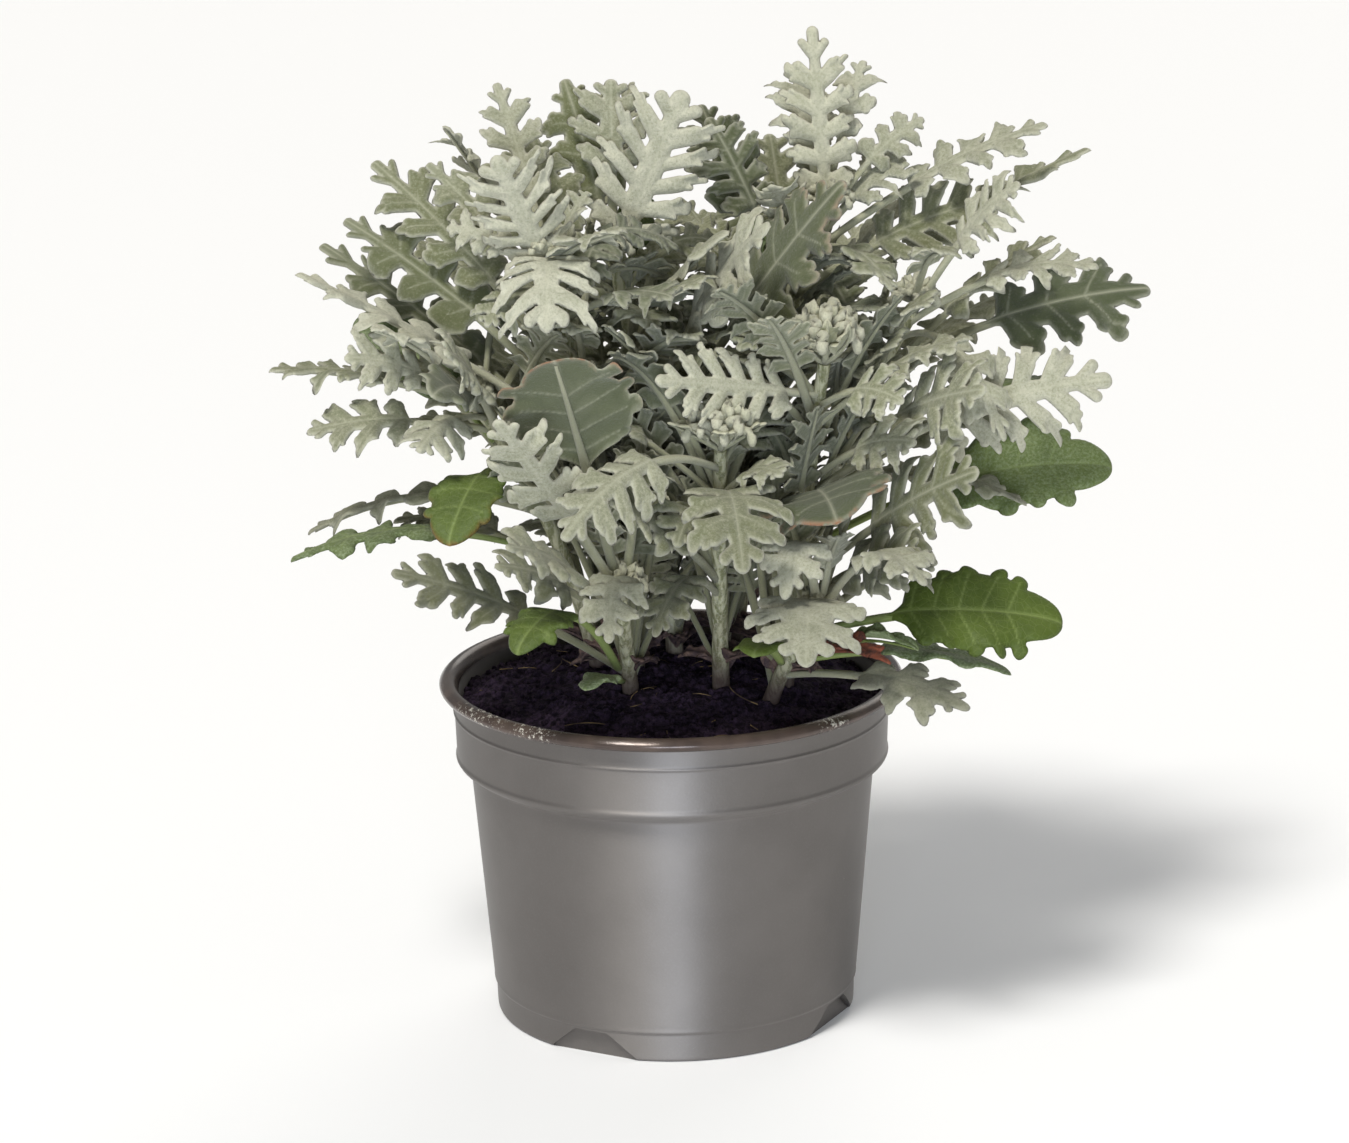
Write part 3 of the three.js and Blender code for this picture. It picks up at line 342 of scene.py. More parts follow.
def leaf_frame(plan, line, x):
    """Points along a leaf's middle, and which way its face looks and its left half points there."""
    whole = line["stalk"] + line["blade"]
    t = (line["stalk"] + x) / whole
    points, along = quadratic(line["foot"], line["middle"], line["tip"], t)
    up = -line["outward"] * along[:, 2:] + UP * (along @ line["outward"])[:, None]
    up = unit(up - along * (up * along).sum(1)[:, None])
    across = np.cross(up, along)
    turn = -math.radians(plan["roll"]) * np.clip(t * whole / (line["stalk"] + 0.3 * line["blade"]), 0, 1)
    cos, sin = np.cos(turn)[:, None], np.sin(turn)[:, None]
    return points, up * cos + across * sin, across * cos - up * sin


def place(plan, line, x, w, rise):
    """Where points of the flat leaf lie in space, and the directions in which its thickness is measured."""
    points, face, wing = leaf_frame(plan, line, x)
    far = np.abs(w)
    share = np.minimum(1, 2 * far / plan["wide"])
    fold = math.radians(plan["fold"]) * np.clip(x / (0.2 * line["blade"]), 0, 1)
    curl = plan["curl"] / plan["wide"]
    bend = fold + curl * far
    flat = (np.sin(bend) - np.sin(fold)) / curl if curl else far * np.cos(fold)
    high = (np.cos(fold) - np.cos(bend)) / curl if curl else far * np.sin(fold)
    ripple = np.sin(x * WAVE["per_millimetre"] + np.sign(w) * WAVE["side_shift"] + plan["phase"])
    side = np.sign(w)[:, None]
    points = points + wing * side * flat[:, None]
    points = points + face * (high + rise + plan["wave"] * share * share * ripple)[:, None]
    return points, face * np.cos(bend)[:, None] - wing * side * np.sin(bend)[:, None]


def blade_half(share):
    """Half the width of a blade at a share of its length, as a share of its widest half."""
    return 0.5 + 0.5 * math.sin(math.pi * (0.12 + 0.68 * share))


def side_lobes(plan, length, draw):
    """The notches (x, w) of one half of a blade, and its side lobes between them."""
    pairs, web, wide = plan["pairs"], plan["web"], plan["wide"]
    spacing = length * (LOBE["end"] - LOBE["start"]) / pairs
    notches = []
    for i in range(pairs + 1):
        narrow = 0.35 if i == 0 else 0.75 + 0.2 * web if i == pairs else 1
        x = length * LOBE["start"] + spacing * i + spacing * 0.12 * (1 - web)
        notches.append((x, wide / 2 * web * narrow * blade_half(i / pairs)))
    lobes = []
    for i in range(pairs):
        share = (i + 0.5) / pairs
        forward = LOBE["lean_fall"] * share * (1 - web)
        lean = math.radians(LOBE["lean"] - forward + LOBE["lean_spread"] * (next(draw) - 0.5))
        reach = wide / 2 * blade_half(share) * (0.94 + 0.16 * next(draw)) / math.sin(lean)
        rise = (next(draw) - 0.5) * LOBE["rise"] * wide
        base = length * LOBE["start"] + spacing * (i + 0.5) - reach * math.cos(lean) * 0.25
        half = plan["lobe"] * spacing * math.sin(lean)
        lobes.append({"base": base, "reach": reach, "lean": lean, "rise": rise, "half": half})
    return notches, lobes


def spot(lobe, out, across):
    """A point of a lobe, at a share of its reach out from the midrib and of its half width across."""
    cos, sin = math.cos(lobe["lean"]), math.sin(lobe["lean"])
    x = lobe["base"] + out * lobe["reach"] * cos + across * lobe["half"] * sin
    return np.array([x, out * lobe["reach"] * sin - across * lobe["half"] * cos])


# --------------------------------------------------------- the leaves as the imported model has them
BEND = {"tip": np.array([3, 7, 5]), "roll": 18}  # the steps by which a leaf is bent to stand clear
MATCH = {"near": 0.06, "sure": 0.8, "least": 0.34}  # how near a marker lies, and shares of a leaf's markers
HEAD_LEAF = {"lift": 1, "curl": 1.4, "wave": 0.3, "tone": 0.5, "fresh": 0.25}


def bends():
    """The bends that a leaf tries in turn to stand clear, as moves of its tip and a roll."""
    ways = [(0, 1, 0), (0, -1, 0), (0, 0, 1), (0, 0, -1), (0, 1, 1)]
    ways += [(0, -1, 1), (0, 1, -1), (0, -1, -1), (1, 0, 0), (-1, 0, 0)]
    tried = [(np.zeros(3), 0)]
    for size in (1, 2, 3):
        for way in ways:
            tried += [(BEND["tip"] * way * size, BEND["roll"] * turn) for turn in (0, 1, -1)]
    return tried


def marker_points(plan):
    """The tip of a leaf and the ends of its lobes, as its solid has them."""
    plan, line, draw = opened(plan)
    flat = [(line["blade"], 0, 0)]
    for side in (1, -1):
        for lobe in side_lobes(plan, line["blade"], draw)[1]:
            for out, across in LOBE_ENDS[plan["teeth"]]:
                x, w = spot(lobe, out, across)
                flat.append((x, side * w, lobe["rise"] * out * out))
    x, w, rise = np.array(flat).T
    points, thickness = place(plan, line, x, w, rise)
    return points + thickness * PACKED_BLADE / 2


def as_packed(plan, corners):
    """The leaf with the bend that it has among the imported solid's corners, or None if it isn't there."""
    best, matches = None, 0
    for move, roll in bends():
        bent = {**plan, "tip": plan["tip"] + move, "roll": plan["roll"] + roll}
        points = marker_points(bent)
        found = sum(corners.find(point)[2] < MATCH["near"] for point in points) / len(points)
        if found > matches:
            best, matches = bent, found
        if matches > MATCH["sure"]:
            break
    return best if matches > MATCH["least"] else None


def node_corners(name):
    """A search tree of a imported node's vertices, in millimetres."""
    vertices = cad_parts[name].data.vertices
    tree = KDTree(len(vertices))
    for i, vertex in enumerate(vertices):
        tree.insert(vertex.co / MM, i)
    tree.balance()
    return tree


def plant(plan, shoot, seed, gap=0.0):
    """Gives a leaf its foot, in its stem or at a distance beside it, and its seed."""
    point, along = on_stem(shoot, plan["at"])
    out = plan["tip"] - point
    out = unit(out - along * (out @ along))
    return {**plan, "foot": point + out * gap, "seed": seed}


def far_leaves():
    """The far side of the crown: tips spread by the golden angle, each leaf from the nearest stem."""
    draw = draws(FAR_SIDE["seed"])
    found = []
    for i in range(FAR_SIDE["turns"]):
        high = 1 - 2 * (i + 0.5) / FAR_SIDE["turns"]
        flat = math.sqrt(1 - high * high)
        way = np.array([flat * math.cos(i * GOLDEN_ANGLE), flat * math.sin(i * GOLDEN_ANGLE), high])
        reach = 0.86 + 0.14 * next(draw)
        wide = FAR_SIDE["wide"] * (0.75 + 0.5 * next(draw))
        droop = next(draw)
        if way[1] < FAR_SIDE["front_limit"] or high < FAR_SIDE["lowest"]:
            continue
        tip = np.floor(CROWN["centre"] + CROWN["reach"] * reach * way + 0.5)
        name = min(FAR_SIDE["stems"], key=lambda stem: np.linalg.norm(np.array(SHOOTS[stem]["top"]) - tip))
        at = min(1, max(0.3, 0.62 + 0.4 * high))
        kind = "cut" if i % 3 == 0 else "small"
        lift = 4 + 10 * droop * (1 - high)
        found.append((name, leaf(kind, at, tip, wide, lift=lift, far_side=True)))
    return found


def head_leaves(shoot):
    """A young head: small leaves round the top of the stem, cupped over its growing point."""
    head = shoot["head"]
    draw = draws(head["seed"])
    found = []
    for i in range(head["count"]):
        heading = i * GOLDEN_ANGLE
        out = head["reach"] * (0.8 + 0.3 * next(draw))
        height = head["rise"] * (0.7 + 0.5 * next(draw))
        tip = np.array(shoot["top"]) + (out * math.cos(heading), out * math.sin(heading), height)
        more = {"heading": math.degrees(heading), "bulge": head.get("bulge", 2), **HEAD_LEAF}
        found.append(leaf("young", 1, tip, head["wide"], **more))
    return found


def packed_leaves():
    """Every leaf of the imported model, by the name of its node."""
    near = {}
    for name, shoot in SHOOTS.items():
        near[name] = shoot["leaves"] + (head_leaves(shoot) if "head" in shoot else [])
    far = far_leaves()
    queue = [("leafy_stem_" + name, name, plan) for name, plans in near.items() for plan in plans]
    queue += [(name, stem, plan) for name, (stem, plan) in OWN_LEAVES.items()]
    queue += [("leafy_stem_" + name, name, plan) for name in SHOOTS for stem, plan in far if stem == name]
    corners = {name: node_corners(name) for name in {row[0] for row in queue}}
    found = {name: [] for name in corners}
    for i, (target, stem, plan) in enumerate(queue):
        gap = STEM["foot_radius"] + FOOT_GAP if target in OWN_LEAVES else 0
        settled = as_packed(plant(plan, SHOOTS[stem], FIRST_SEED + i, gap), corners[target])
        if settled is not None:
            found[target].append(settled)
        elif not plan.get("far_side"):
            raise RuntimeError(f"{target} has no leaf whose tip is near {plan['tip']}")
    return found


# --------------------------------------------------------------------------------- the fine blades
# How a leaf is finished: the mesh of its grid, its felted thickness, and how its lobes swell and curl,
# all in mm.
CELL = {"hero": 0.42, "young": 0.45, "other": 0.52, "far": 0.7, "inner": 0.7}
KEPT = 0.5  # share of the grid's triangles that stay, where the blade is bent most
BLADE = {"half_thickness": 0.42, "margin": 0.9, "rim": 0.55, "groove": 0.2, "vein": 0.5}
SWELL = {"high": 1.4, "over": 1.3}  # how far a blade swells between its edges, and over what depth
OUTSIDE = -9.0  # the depth of a point well outside a blade
GRID_REACH = 0.62  # how much of a leaf's width its grid covers on each side
CURL = {"droop": 0.26, "twist": 1.2, "sweep": 0.5, "ripple": 0.2, "waves": 2.6}
STALK = {"wide": 1.35, "thick": 1.15, "rib_wide": 0.42, "rib_thick": 0.4, "sides": 8}
# The strip along the midrib, where it starts: places along the leaf, and half widths there.
STRIP = {"foot_x": (-3, -0.5), "foot_w": (0.2, 0.9)}
# Half widths of the tip and its teeth for a leaf 1 wide, and how far back a tooth starts on a leaf 1 long.
TIP = {"cut": 0.09, "plain": 0.17, "tooth": 0.064, "back": 0.1}
# The teeth beside the tip, as shares of the leaf's length and width, for a deeply cut blade and for a
# broad one.
TIP_TEETH = (((0.91, 0.23), (0.79, 0.31)), ((0.88, 0.25),))
# The rounded fingers at a lobe's end for 0, 1 and 2 teeth: out along it, across it, and radius for its
# half width.
FINGERS = (
    ((1, 0, 0.8),),
    ((0.8, -0.86, 0.4), (1.03, -0.05, 0.5), (0.88, 0.82, 0.38)),
    ((0.78, -0.9, 0.38), (1.04, -0.02, 0.46), (0.88, 0.86, 0.38)),
)
# A lobe's broad part: half widths at its root and end, as shares of the lobe's, and how far out it goes.
LOBE_STROKE = {"cut": (0.7, 1.0, 0.6), "plain": (1.0, 1.0, 0.66)}
SLIM = 0.85  # the radius of a tooth or finger where it starts, as a share of that at its end
JOIN = {"tip": 0.5, "tooth": 0.25, "oval": 0.6, "lobe": 0.4, "finger": 0.2}  # how softly parts meet
SIDE_VEIN = {"end": 0.8, "depth": 0.18}  # how far out a lobe's vein goes, and how much fainter it is
FINGER = {"sides": 7, "at": (0, 0.3, 0.55, 0.76, 0.91, 0.98), "swell": (1.0, 1.0, 1.0, 0.96, 0.84, 0.5)}
# The marks that a leaf's mesh carries for its colour, in two layers of four; one of them is spare.
MARKS = {"marks": ("tone", "vein", "rim", "under"), "ageing": ("scorch", "fresh", "spare", "stalk")}
# The polygons of a grid cell by which corners are inside the blade: 0-3 are its corners, 4-7 its edges'
# crossings.
CELL_POLYGONS = {
    1: [(0, 4, 7)],
    2: [(4, 1, 5)],
    3: [(0, 1, 5, 7)],
    4: [(5, 2, 6)],
    5: [(0, 4, 7), (5, 2, 6)],
    6: [(4, 1, 2, 6)],
    7: [(0, 1, 2, 6, 7)],
    8: [(7, 6, 3)],
    9: [(0, 4, 6, 3)],
    10: [(4, 1, 5), (7, 6, 3)],
    11: [(0, 1, 5, 6, 3)],
    12: [(7, 5, 2, 3)],
    13: [(0, 4, 5, 2, 3)],
    14: [(4, 1, 2, 3, 7)],
    15: [(0, 1, 2, 3)],
}
# Where random draws begin.
SEEDS = {
    "finer": 7000,
    "inner": 5,
    "inner_leaves": 3000,
    "withered": 14,
    "withered_leaves": 6000,
    "young": 8,
    "crumbs": (4, 7, 9),
    "fibres": (12, 3, 5),
}


def soft_max(a, b, reach):
    """The greater of two depths, rounded where they meet."""
    mix = np.clip(0.5 + 0.5 * (a - b) / reach, 0, 1)
    return b + (a - b) * mix + reach * mix * (1 - mix)


def stroke(x, w, start, end, first, last):
    """How deep points lie inside a rounded stroke, whose radius goes from the first to the last."""
    ax, aw = end[0] - start[0], end[1] - start[1]
    t = np.clip(((x - start[0]) * ax + (w - start[1]) * aw) / (ax * ax + aw * aw), 0, 1)
    return first + (last - first) * t - np.hypot(x - start[0] - t * ax, w - start[1] - t * aw)


def strip(plan, notches, x, w):
    """How deep points lie in the strip along the midrib, whose edge runs softly from notch to notch."""
    fuller = 1 if plan["teeth"] else 1 + 0.5 * (1 - plan["web"]) / plan["web"]
    knots_x = [*STRIP["foot_x"]] + [notch_x for notch_x, _ in notches]
    knots_w = [*STRIP["foot_w"]] + [max(STRIP["foot_w"][-1], notch_w * fuller) for _, notch_w in notches]
    fine = np.linspace(knots_x[0], knots_x[-1], 60)
    edge = np.pad(np.interp(fine, knots_x, knots_w), 4, mode="edge")
    edge = np.convolve(edge, np.ones(9) / 9, mode="valid")
    end_x, end_w = notches[-1]
    past = end_w - np.hypot(x - end_x, w) if plan["teeth"] else OUTSIDE
    depth = np.where(x < end_x, (np.interp(x, fine, edge) - w) * 0.9, past)
    return np.where(x < knots_x[0], OUTSIDE, depth)


def with_tip(depth, plan, length, end, x, w):
    """Adds the lobe at the tip of the leaf to a depth, and rounded teeth beside it where the leaf is cut."""
    wide, (end_x, end_w) = plan["wide"], end
    tip_half = wide * TIP["cut" if plan["teeth"] else "plain"]
    if not plan["teeth"]:
        reach = length - end_x + 1
        oval = 1 - np.hypot((x - end_x + 1) / reach, w / max(end_w, tip_half))
        return soft_max(depth, oval * min(reach, end_w), JOIN["oval"])
    end_lobe = stroke(x, w, (end_x - 1, 0), (length - tip_half, 0), end_w, tip_half)
    depth = soft_max(depth, end_lobe, JOIN["tip"])
    tooth = wide * TIP["tooth"]
    for at, out in TIP_TEETH[plan["web"] > 0.4]:
        start, end = (length * (at - TIP["back"]), 0), (length * at, wide * out - tooth)
        depth = soft_max(depth, stroke(x, w, start, end, tooth * SLIM, tooth), JOIN["tooth"])
    return depth


def with_lobe(depth, plan, lobe, x, w, draw):
    """Adds a side lobe to a depth: its broad part, and the rounded fingers at its end."""
    root = np.array([lobe["base"], 0.0])
    narrow, broad, far = LOBE_STROKE["cut" if plan["teeth"] else "plain"]
    body = stroke(x, w, root, spot(lobe, far, 0), narrow * lobe["half"], broad * lobe["half"])
    depth = soft_max(depth, body, JOIN["lobe"])
    for out, across, radius in FINGERS[plan["teeth"]]:
        radius = radius * lobe["half"] * (1.0 + 0.2 * next(draw))
        end = spot(lobe, out - radius / lobe["reach"] * 0.8, across * 0.82)
        start = spot(lobe, 0.5, across * 0.3)
        depth = soft_max(depth, stroke(x, w, start, end, radius * SLIM, radius), JOIN["finger"])
    return depth


def half_blade(plan, length, x, w, notches, lobes, draw):
    """One half of a flat blade: depth inside its edge, rise of its lobes, and nearness to a vein."""
    spacing = length * (LOBE["end"] - LOBE["start"]) / plan["pairs"]
    loose = 1 - plan["web"] ** 2
    bowed = CURL["sweep"] * (next(draw) - 0.5)
    ripple = CURL["ripple"] * np.sin(2 * math.pi * (x / (CURL["waves"] * spacing) + next(draw)))
    x = x + loose * (bowed + ripple) * spacing * np.minimum(1.2, 2 * w / plan["wide"]) ** 2
    depth = with_tip(strip(plan, notches, x, w), plan, length, notches[-1], x, w)
    vein = np.abs(w)
    rise, total = np.zeros_like(x), np.full_like(x, 1e-4)
    for lobe in lobes:
        droop = loose * lobe["reach"] * CURL["droop"] * (0.3 + 1.4 * next(draw))
        twist = loose * CURL["twist"] * (next(draw) - 0.5) * 2
        depth = with_lobe(depth, plan, lobe, x, w, draw)
        cos, sin = math.cos(lobe["lean"]), math.sin(lobe["lean"])
        along = ((x - lobe["base"]) * cos + w * sin) / lobe["reach"]
        side = ((x - lobe["base"]) * sin - w * cos) / lobe["half"]
        out = np.clip(along, 0, 1.05)
        weight = np.exp(-side * side) * out
        rise += weight * (lobe["rise"] * out * out - droop * out * out + twist * side * out)
        total += weight
        shown = (along > 0) & (along < SIDE_VEIN["end"])
        near = SIDE_VEIN["depth"] + np.abs(side) * lobe["half"] * (1 + out)
        vein = np.where(shown, np.minimum(vein, near), vein)
    return depth, rise / total * np.clip(total, 0, 1), vein


def grid_surface(depth):
    """The points of a sheet cut out of a grid, as (i, j), how many lie inside it, and its triangles."""
    inside = depth > 0
    number = np.full(depth.shape, -1)
    number[inside] = np.arange(inside.sum())
    count = inside.sum()
    crossings = []
    ids = []
    for axis in (0, 1):
        a = depth[:-1] if axis == 0 else depth[:, :-1]
        b = depth[1:] if axis == 0 else depth[:, 1:]
        crossed = (a > 0) != (b > 0)
        found = np.full(crossed.shape, -1)
        found[crossed] = count + np.arange(crossed.sum())
        count += crossed.sum()
        part = np.clip(a[crossed] / (a[crossed] - b[crossed]), 0.08, 0.92)
        i, j = np.nonzero(crossed)
        crossings.append((i + part, j + 0.0) if axis == 0 else (i + 0.0, j + part))
        ids.append(found)
    i, j = np.nonzero(inside)
    places = np.concatenate([np.stack((i, j), 1), *(np.stack(pair, 1) for pair in crossings)]).astype(float)
    case = inside[:-1, :-1] + 2 * inside[1:, :-1] + 4 * inside[1:, 1:] + 8 * inside[:-1, 1:]
    triangles = []
    for which, polygons in CELL_POLYGONS.items():
        i, j = np.nonzero(case == which)
        if not len(i):
            continue
        corners = [number[i, j], number[i + 1, j], number[i + 1, j + 1], number[i, j + 1]]
        corners += [ids[0][i, j], ids[1][i + 1, j], ids[0][i, j + 1], ids[1][i, j]]
        for polygon in polygons:
            for second, third in zip(polygon[1:], polygon[2:]):
                triangles.append(np.stack([corners[polygon[0]], corners[second], corners[third]], 1))
    return places, int(inside.sum()), np.concatenate(triangles)


def linked(name, data):
    """A new object of the scene."""
    made = bpy.data.objects.new(name, data)
    bpy.context.scene.collection.objects.link(made)
    return made


def walls(rows, sides):
    """The lower corners of the quads between the rings of a tube, as two neighbours in a ring."""
    first = np.arange(rows - 1)[:, None] * sides
    around = np.arange(sides)
    return (first + around).ravel(), (first + (around + 1) % sides).ravel()


class Mesh:
    """Leaves and what else is gathered for one piece: points in millimetres, triangles and colour marks."""

    def __init__(self, plans):
        self.points, self.triangles, self.layers, self.count = [], [], ([], []), 0
        for plan in plans:
            add_leaf(self, toned(plan))

    def add(self, points, triangles, *layers):
        self.points.append(points)
        self.triangles.append(triangles + self.count)
        for rows, values in zip(self.layers, layers):
            rows.append(np.broadcast_to(values, (len(points), 4)))
        self.count += len(points)

    def make(self, name, skin):
        """The piece as a Blender object, with its flat stretches thinned out."""
        points = np.concatenate(self.points) * MM
        triangles = np.concatenate(self.triangles)
        mesh = bpy.data.meshes.new(name)
        mesh.vertices.add(len(points))
        mesh.vertices.foreach_set("co", points.astype(np.float32).ravel())
        mesh.loops.add(len(triangles) * 3)
        mesh.loops.foreach_set("vertex_index", triangles.astype(np.int32).ravel())
        mesh.polygons.add(len(triangles))
        mesh.polygons.foreach_set("loop_start", np.arange(0, len(triangles) * 3, 3, dtype=np.int32))
        for title, rows in zip(MARKS, self.layers):
            layer = mesh.attributes.new(title, "FLOAT_COLOR", "POINT")
            layer.data.foreach_set("color", np.concatenate(rows).astype(np.float32).ravel())
        mesh.update(calc_edges=True)
        mesh.polygons.foreach_set("use_smooth", np.ones(len(triangles), dtype=bool))
        mesh.materials.append(material_of(skin))
        made = linked(name, mesh)
        made.modifiers.new("thin_out", "DECIMATE").ratio = KEPT
        return applied(made)


def toned(plan):
    """Gives a leaf its tone: the young leaves near the top of a stem are the whitest."""
    spread = (plan["seed"] * 0.618) % 1 - 0.5
    return {"tone": min(1, max(0, 0.1 + 0.62 * plan["at"] ** 1.5 + 0.35 * spread)), **plan}


def sampled(grid, places):
    """The values of a grid at places between its points."""
    i = np.minimum(places.astype(int), np.array(grid.shape) - 2)
    part = places - i
    a = grid[i[:, 0], i[:, 1]] * (1 - part[:, 0]) + grid[i[:, 0] + 1, i[:, 1]] * part[:, 0]
    b = grid[i[:, 0], i[:, 1] + 1] * (1 - part[:, 0]) + grid[i[:, 0] + 1, i[:, 1] + 1] * part[:, 0]
    return a * (1 - part[:, 1]) + b * part[:, 1]


def add_leaf(mesh, plan):
    """Adds one leaf: its cut blade as a closed sheet, and its stalk and midrib as one tapered tube."""
    plan, line, draw = opened(plan)
    length = line["blade"]
    sides = {side: side_lobes(plan, length, draw) for side in (1, -1)}
    finer = draws(plan["seed"] + SEEDS["finer"])
    group = "far" if plan.get("far_side") else "inner" if plan.get("inner") else plan["kind"]
    cell = CELL.get(group, CELL["other"])
    x = np.arange(-3 * cell, length + 3 * cell, cell)
    w = np.arange(0, plan["wide"] * GRID_REACH + 3 * cell, cell)
    grid = np.meshgrid(x, w, indexing="ij")
    halves = [half_blade(plan, length, *grid, *sides[side], finer) for side in (1, -1)]
    depth, rise, vein = (np.concatenate((second[:, :0:-1], first), 1) for first, second in zip(*halves))
    places, inner, triangles = grid_surface(depth)
    px = x[0] + places[:, 0] * cell
    pw = (places[:, 1] - (len(w) - 1)) * cell
    deep = np.maximum(sampled(depth, places), 0)
    deep[inner:] = 0
    near_vein = np.exp(-((sampled(vein, places) / BLADE["vein"]) ** 2))
    up = sampled(rise, places) + SWELL["high"] * (1 - np.exp(-deep / SWELL["over"]))
    points, thickness = place(plan, line, px, pw, up)
    half = BLADE["half_thickness"] * np.sqrt(1 - (1 - np.minimum(deep / BLADE["margin"], 1)) ** 2)
    top = points + thickness * (half - BLADE["groove"] * near_vein * (deep > 0.3))[:, None]
    bottom = points[:inner] - thickness[:inner] * (half + BLADE["groove"] * near_vein)[:inner, None]
    # The sheet below has its own inner points, and shares those of the margin with the sheet above.
    own = np.arange(len(points))
    under = np.where(own < inner, own + len(points), own)
    both = np.concatenate((triangles, under[triangles][:, ::-1]))
    rim = np.exp(-((deep / BLADE["rim"]) ** 2))
    scorch = plan.get("scorch", 0) * np.clip((px / length - 0.35) * 1.6, 0, 1) * rim
    # A silver leaf's freshness and a green one's bloom share a mark, since no leaf has both.
    fresh = plan.get("fresh", plan.get("bloom", 0))
    none = np.zeros(len(points))
    marks = np.stack((none + plan["tone"], near_vein, rim, none), 1)
    ageing = np.stack((scorch, none + fresh, none, none), 1)
    marks = np.concatenate((marks, marks[:inner] + (0, 0, 0, 1)))
    mesh.add(np.concatenate((top, bottom)), both, marks, np.concatenate((ageing, ageing[:inner])))
    add_stalk(mesh, plan, line)


def add_stalk(mesh, plan, line):
    """Adds a leaf's stalk, which runs on as its midrib, with a groove along its upper side."""
    length, stalk, sides = line["blade"], line["stalk"], STALK["sides"]
    stout = min(1, 0.45 + plan["wide"] / 36)
    x = np.concatenate((np.linspace(-stalk, 0, 8)[:-1], np.linspace(0, length * 0.95, 9)))
    share = np.clip(x / (length * 0.95), 0, 1)
    wide = (STALK["wide"] + (STALK["rib_wide"] - STALK["wide"]) * share**0.7) * stout
    thick = (STALK["thick"] + (STALK["rib_thick"] - STALK["thick"]) * share**0.6) * stout
    points, face, wing = leaf_frame(plan, line, x)
    angles = np.arange(sides) * 2 * math.pi / sides
    groove = np.where(np.isclose(angles, math.pi / 2), 0.62, 1)
    ring = points[:, None] + wing[:, None] * (wide[:, None] * np.cos(angles))[..., None]
    ring = ring + face[:, None] * (thick[:, None] * np.sin(angles) * groove)[..., None]
    rows = len(x)
    a, b = walls(rows, sides)
    caps = np.array([(0, k, k + 1) for k in range(1, sides - 1)])
    triangles = [np.stack((a, a + sides, b), 1), np.stack((b, a + sides, b + sides), 1)]
    triangles += [caps, (rows - 1) * sides + caps[:, ::-1]]
    ageing = np.zeros((rows * sides, 4))
    ageing[:, 3] = (np.tile(groove < 1, rows) * 0.6 + 0.4) * np.repeat(1 - share, sides)
    mesh.add(ring.reshape(-1, 3), np.concatenate(triangles), (plan["tone"], 1, 0, 0), ageing)


# --------------------------------------------------------------- the small leaves inside the crown
# Bands of small leaves that fill the crown: how many grow on each stem, the heights at which they leave
# it, how far out to the crown's outside they reach, how steeply they rise, how long and wide they are,
# how high their arch is, their tone, kept low partly as older greener felt and partly as painted shade
# inside the crown, and whether they have long stalks.
BAND_KEYS = ("each", "from", "reach", "rise", "long", "wide", "lift", "shade", "stalked")
BANDS = (
    (22, (122, 400), (0.5, 0.86), (0.0, 0.8), (34, 62), (13, 20), (6, 22), (0.0, 0.4), False),
    (13, (97.5, 109), (0.4, 0.8), (0.3, 1.9), (40, 84), (13, 18), (2, 12), (0.05, 0.5), True),
    (5, (104, 150), (0.2, 0.5), (0.2, 0.9), (24, 44), (14, 20), (4, 12), (-0.3, 0.1), False),
)
TRIES = 9  # places that a small leaf tries, to find the one where it crosses least
MOST_CROSSED = 4  # faces that it may cross there, or twice as many with a long stalk
LOW_STEM = 140  # the top of a stem under which it has half as many small leaves
SHEET_CELL = 2.2  # length of the faces of the sheet that tests what a small leaf crosses
SHORTEST = 20  # between the foot and the tip of a small leaf
LOWEST = 110  # the least height of its tip
WITHERED = {"each": 4, "from": (99.5, 106), "long": (9, 19), "wide": (5, 8)}
WITHERED_LEAF = {"curl": 1.6, "lift": 3, "bulge": 2, "blade": 0.9, "tone": 0}
# The youngest lobes, rolled into woolly fingers round the top of a stem: how many, how far out from their
# middle they reach, how thick they are, and how far their middle stands over the stem's top.
KNOBS = {
    "ball_head": {"count": 21, "reach": 10.0, "finger": 1.6, "over": 5.5},
    "centre_rosette": {"count": 19, "reach": 9.0, "finger": 1.4, "over": 4.5},
    "any": {"count": 20, "reach": 6.0, "finger": 1.2, "over": 3.5},
}
# How a young lobe hooks over: the lean of the outermost, in degrees, and where its curve starts, bends
# and ends, as shares of its reach along its lean, level and up.
HOOK_LEAN = 92
HOOK = ((0.2, 0, 0), (1.15, 0, 0.5), (0.95, 0.14, -0.3))


def leaf_sheet(plan):
    """A leaf as a plain open sheet, to test what it crosses."""
    plan, line, _ = opened(plan)
    length = line["blade"]
    count = max(4, int(length / SHEET_CELL))
    x = np.repeat(np.linspace(0, length, count), 5)
    share = x / length
    half = plan["wide"] / 2 * np.sqrt(np.clip(1 - (1.7 * share - 0.8) ** 2, 0.02, 1))
    w = np.tile(np.linspace(-1, 1, 5), count) * half
    points, _ = place(plan, line, x, w, np.zeros_like(x))
    stalk = leaf_frame(plan, line, np.linspace(-line["stalk"] * 0.7, 0, 5))
    ribbon = np.concatenate((stalk[0] - stalk[2] * 0.8, stalk[0] + stalk[2] * 0.8))
    first = [5 * i + k for i in (*range(count - 1), count) for k in range(4)]
    return np.concatenate((points, ribbon)), [(i, i + 1, i + 6, i + 5) for i in first]


def packed_surface():
    """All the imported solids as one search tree."""
    points, faces = [], []
    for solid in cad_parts.values():
        mesh = solid.data
        start = len(points)
        points += [vertex.co / MM for vertex in mesh.vertices]
        faces += [tuple(start + i for i in polygon.vertices) for polygon in mesh.polygons]
    return BVHTree.FromPolygons(points, faces)


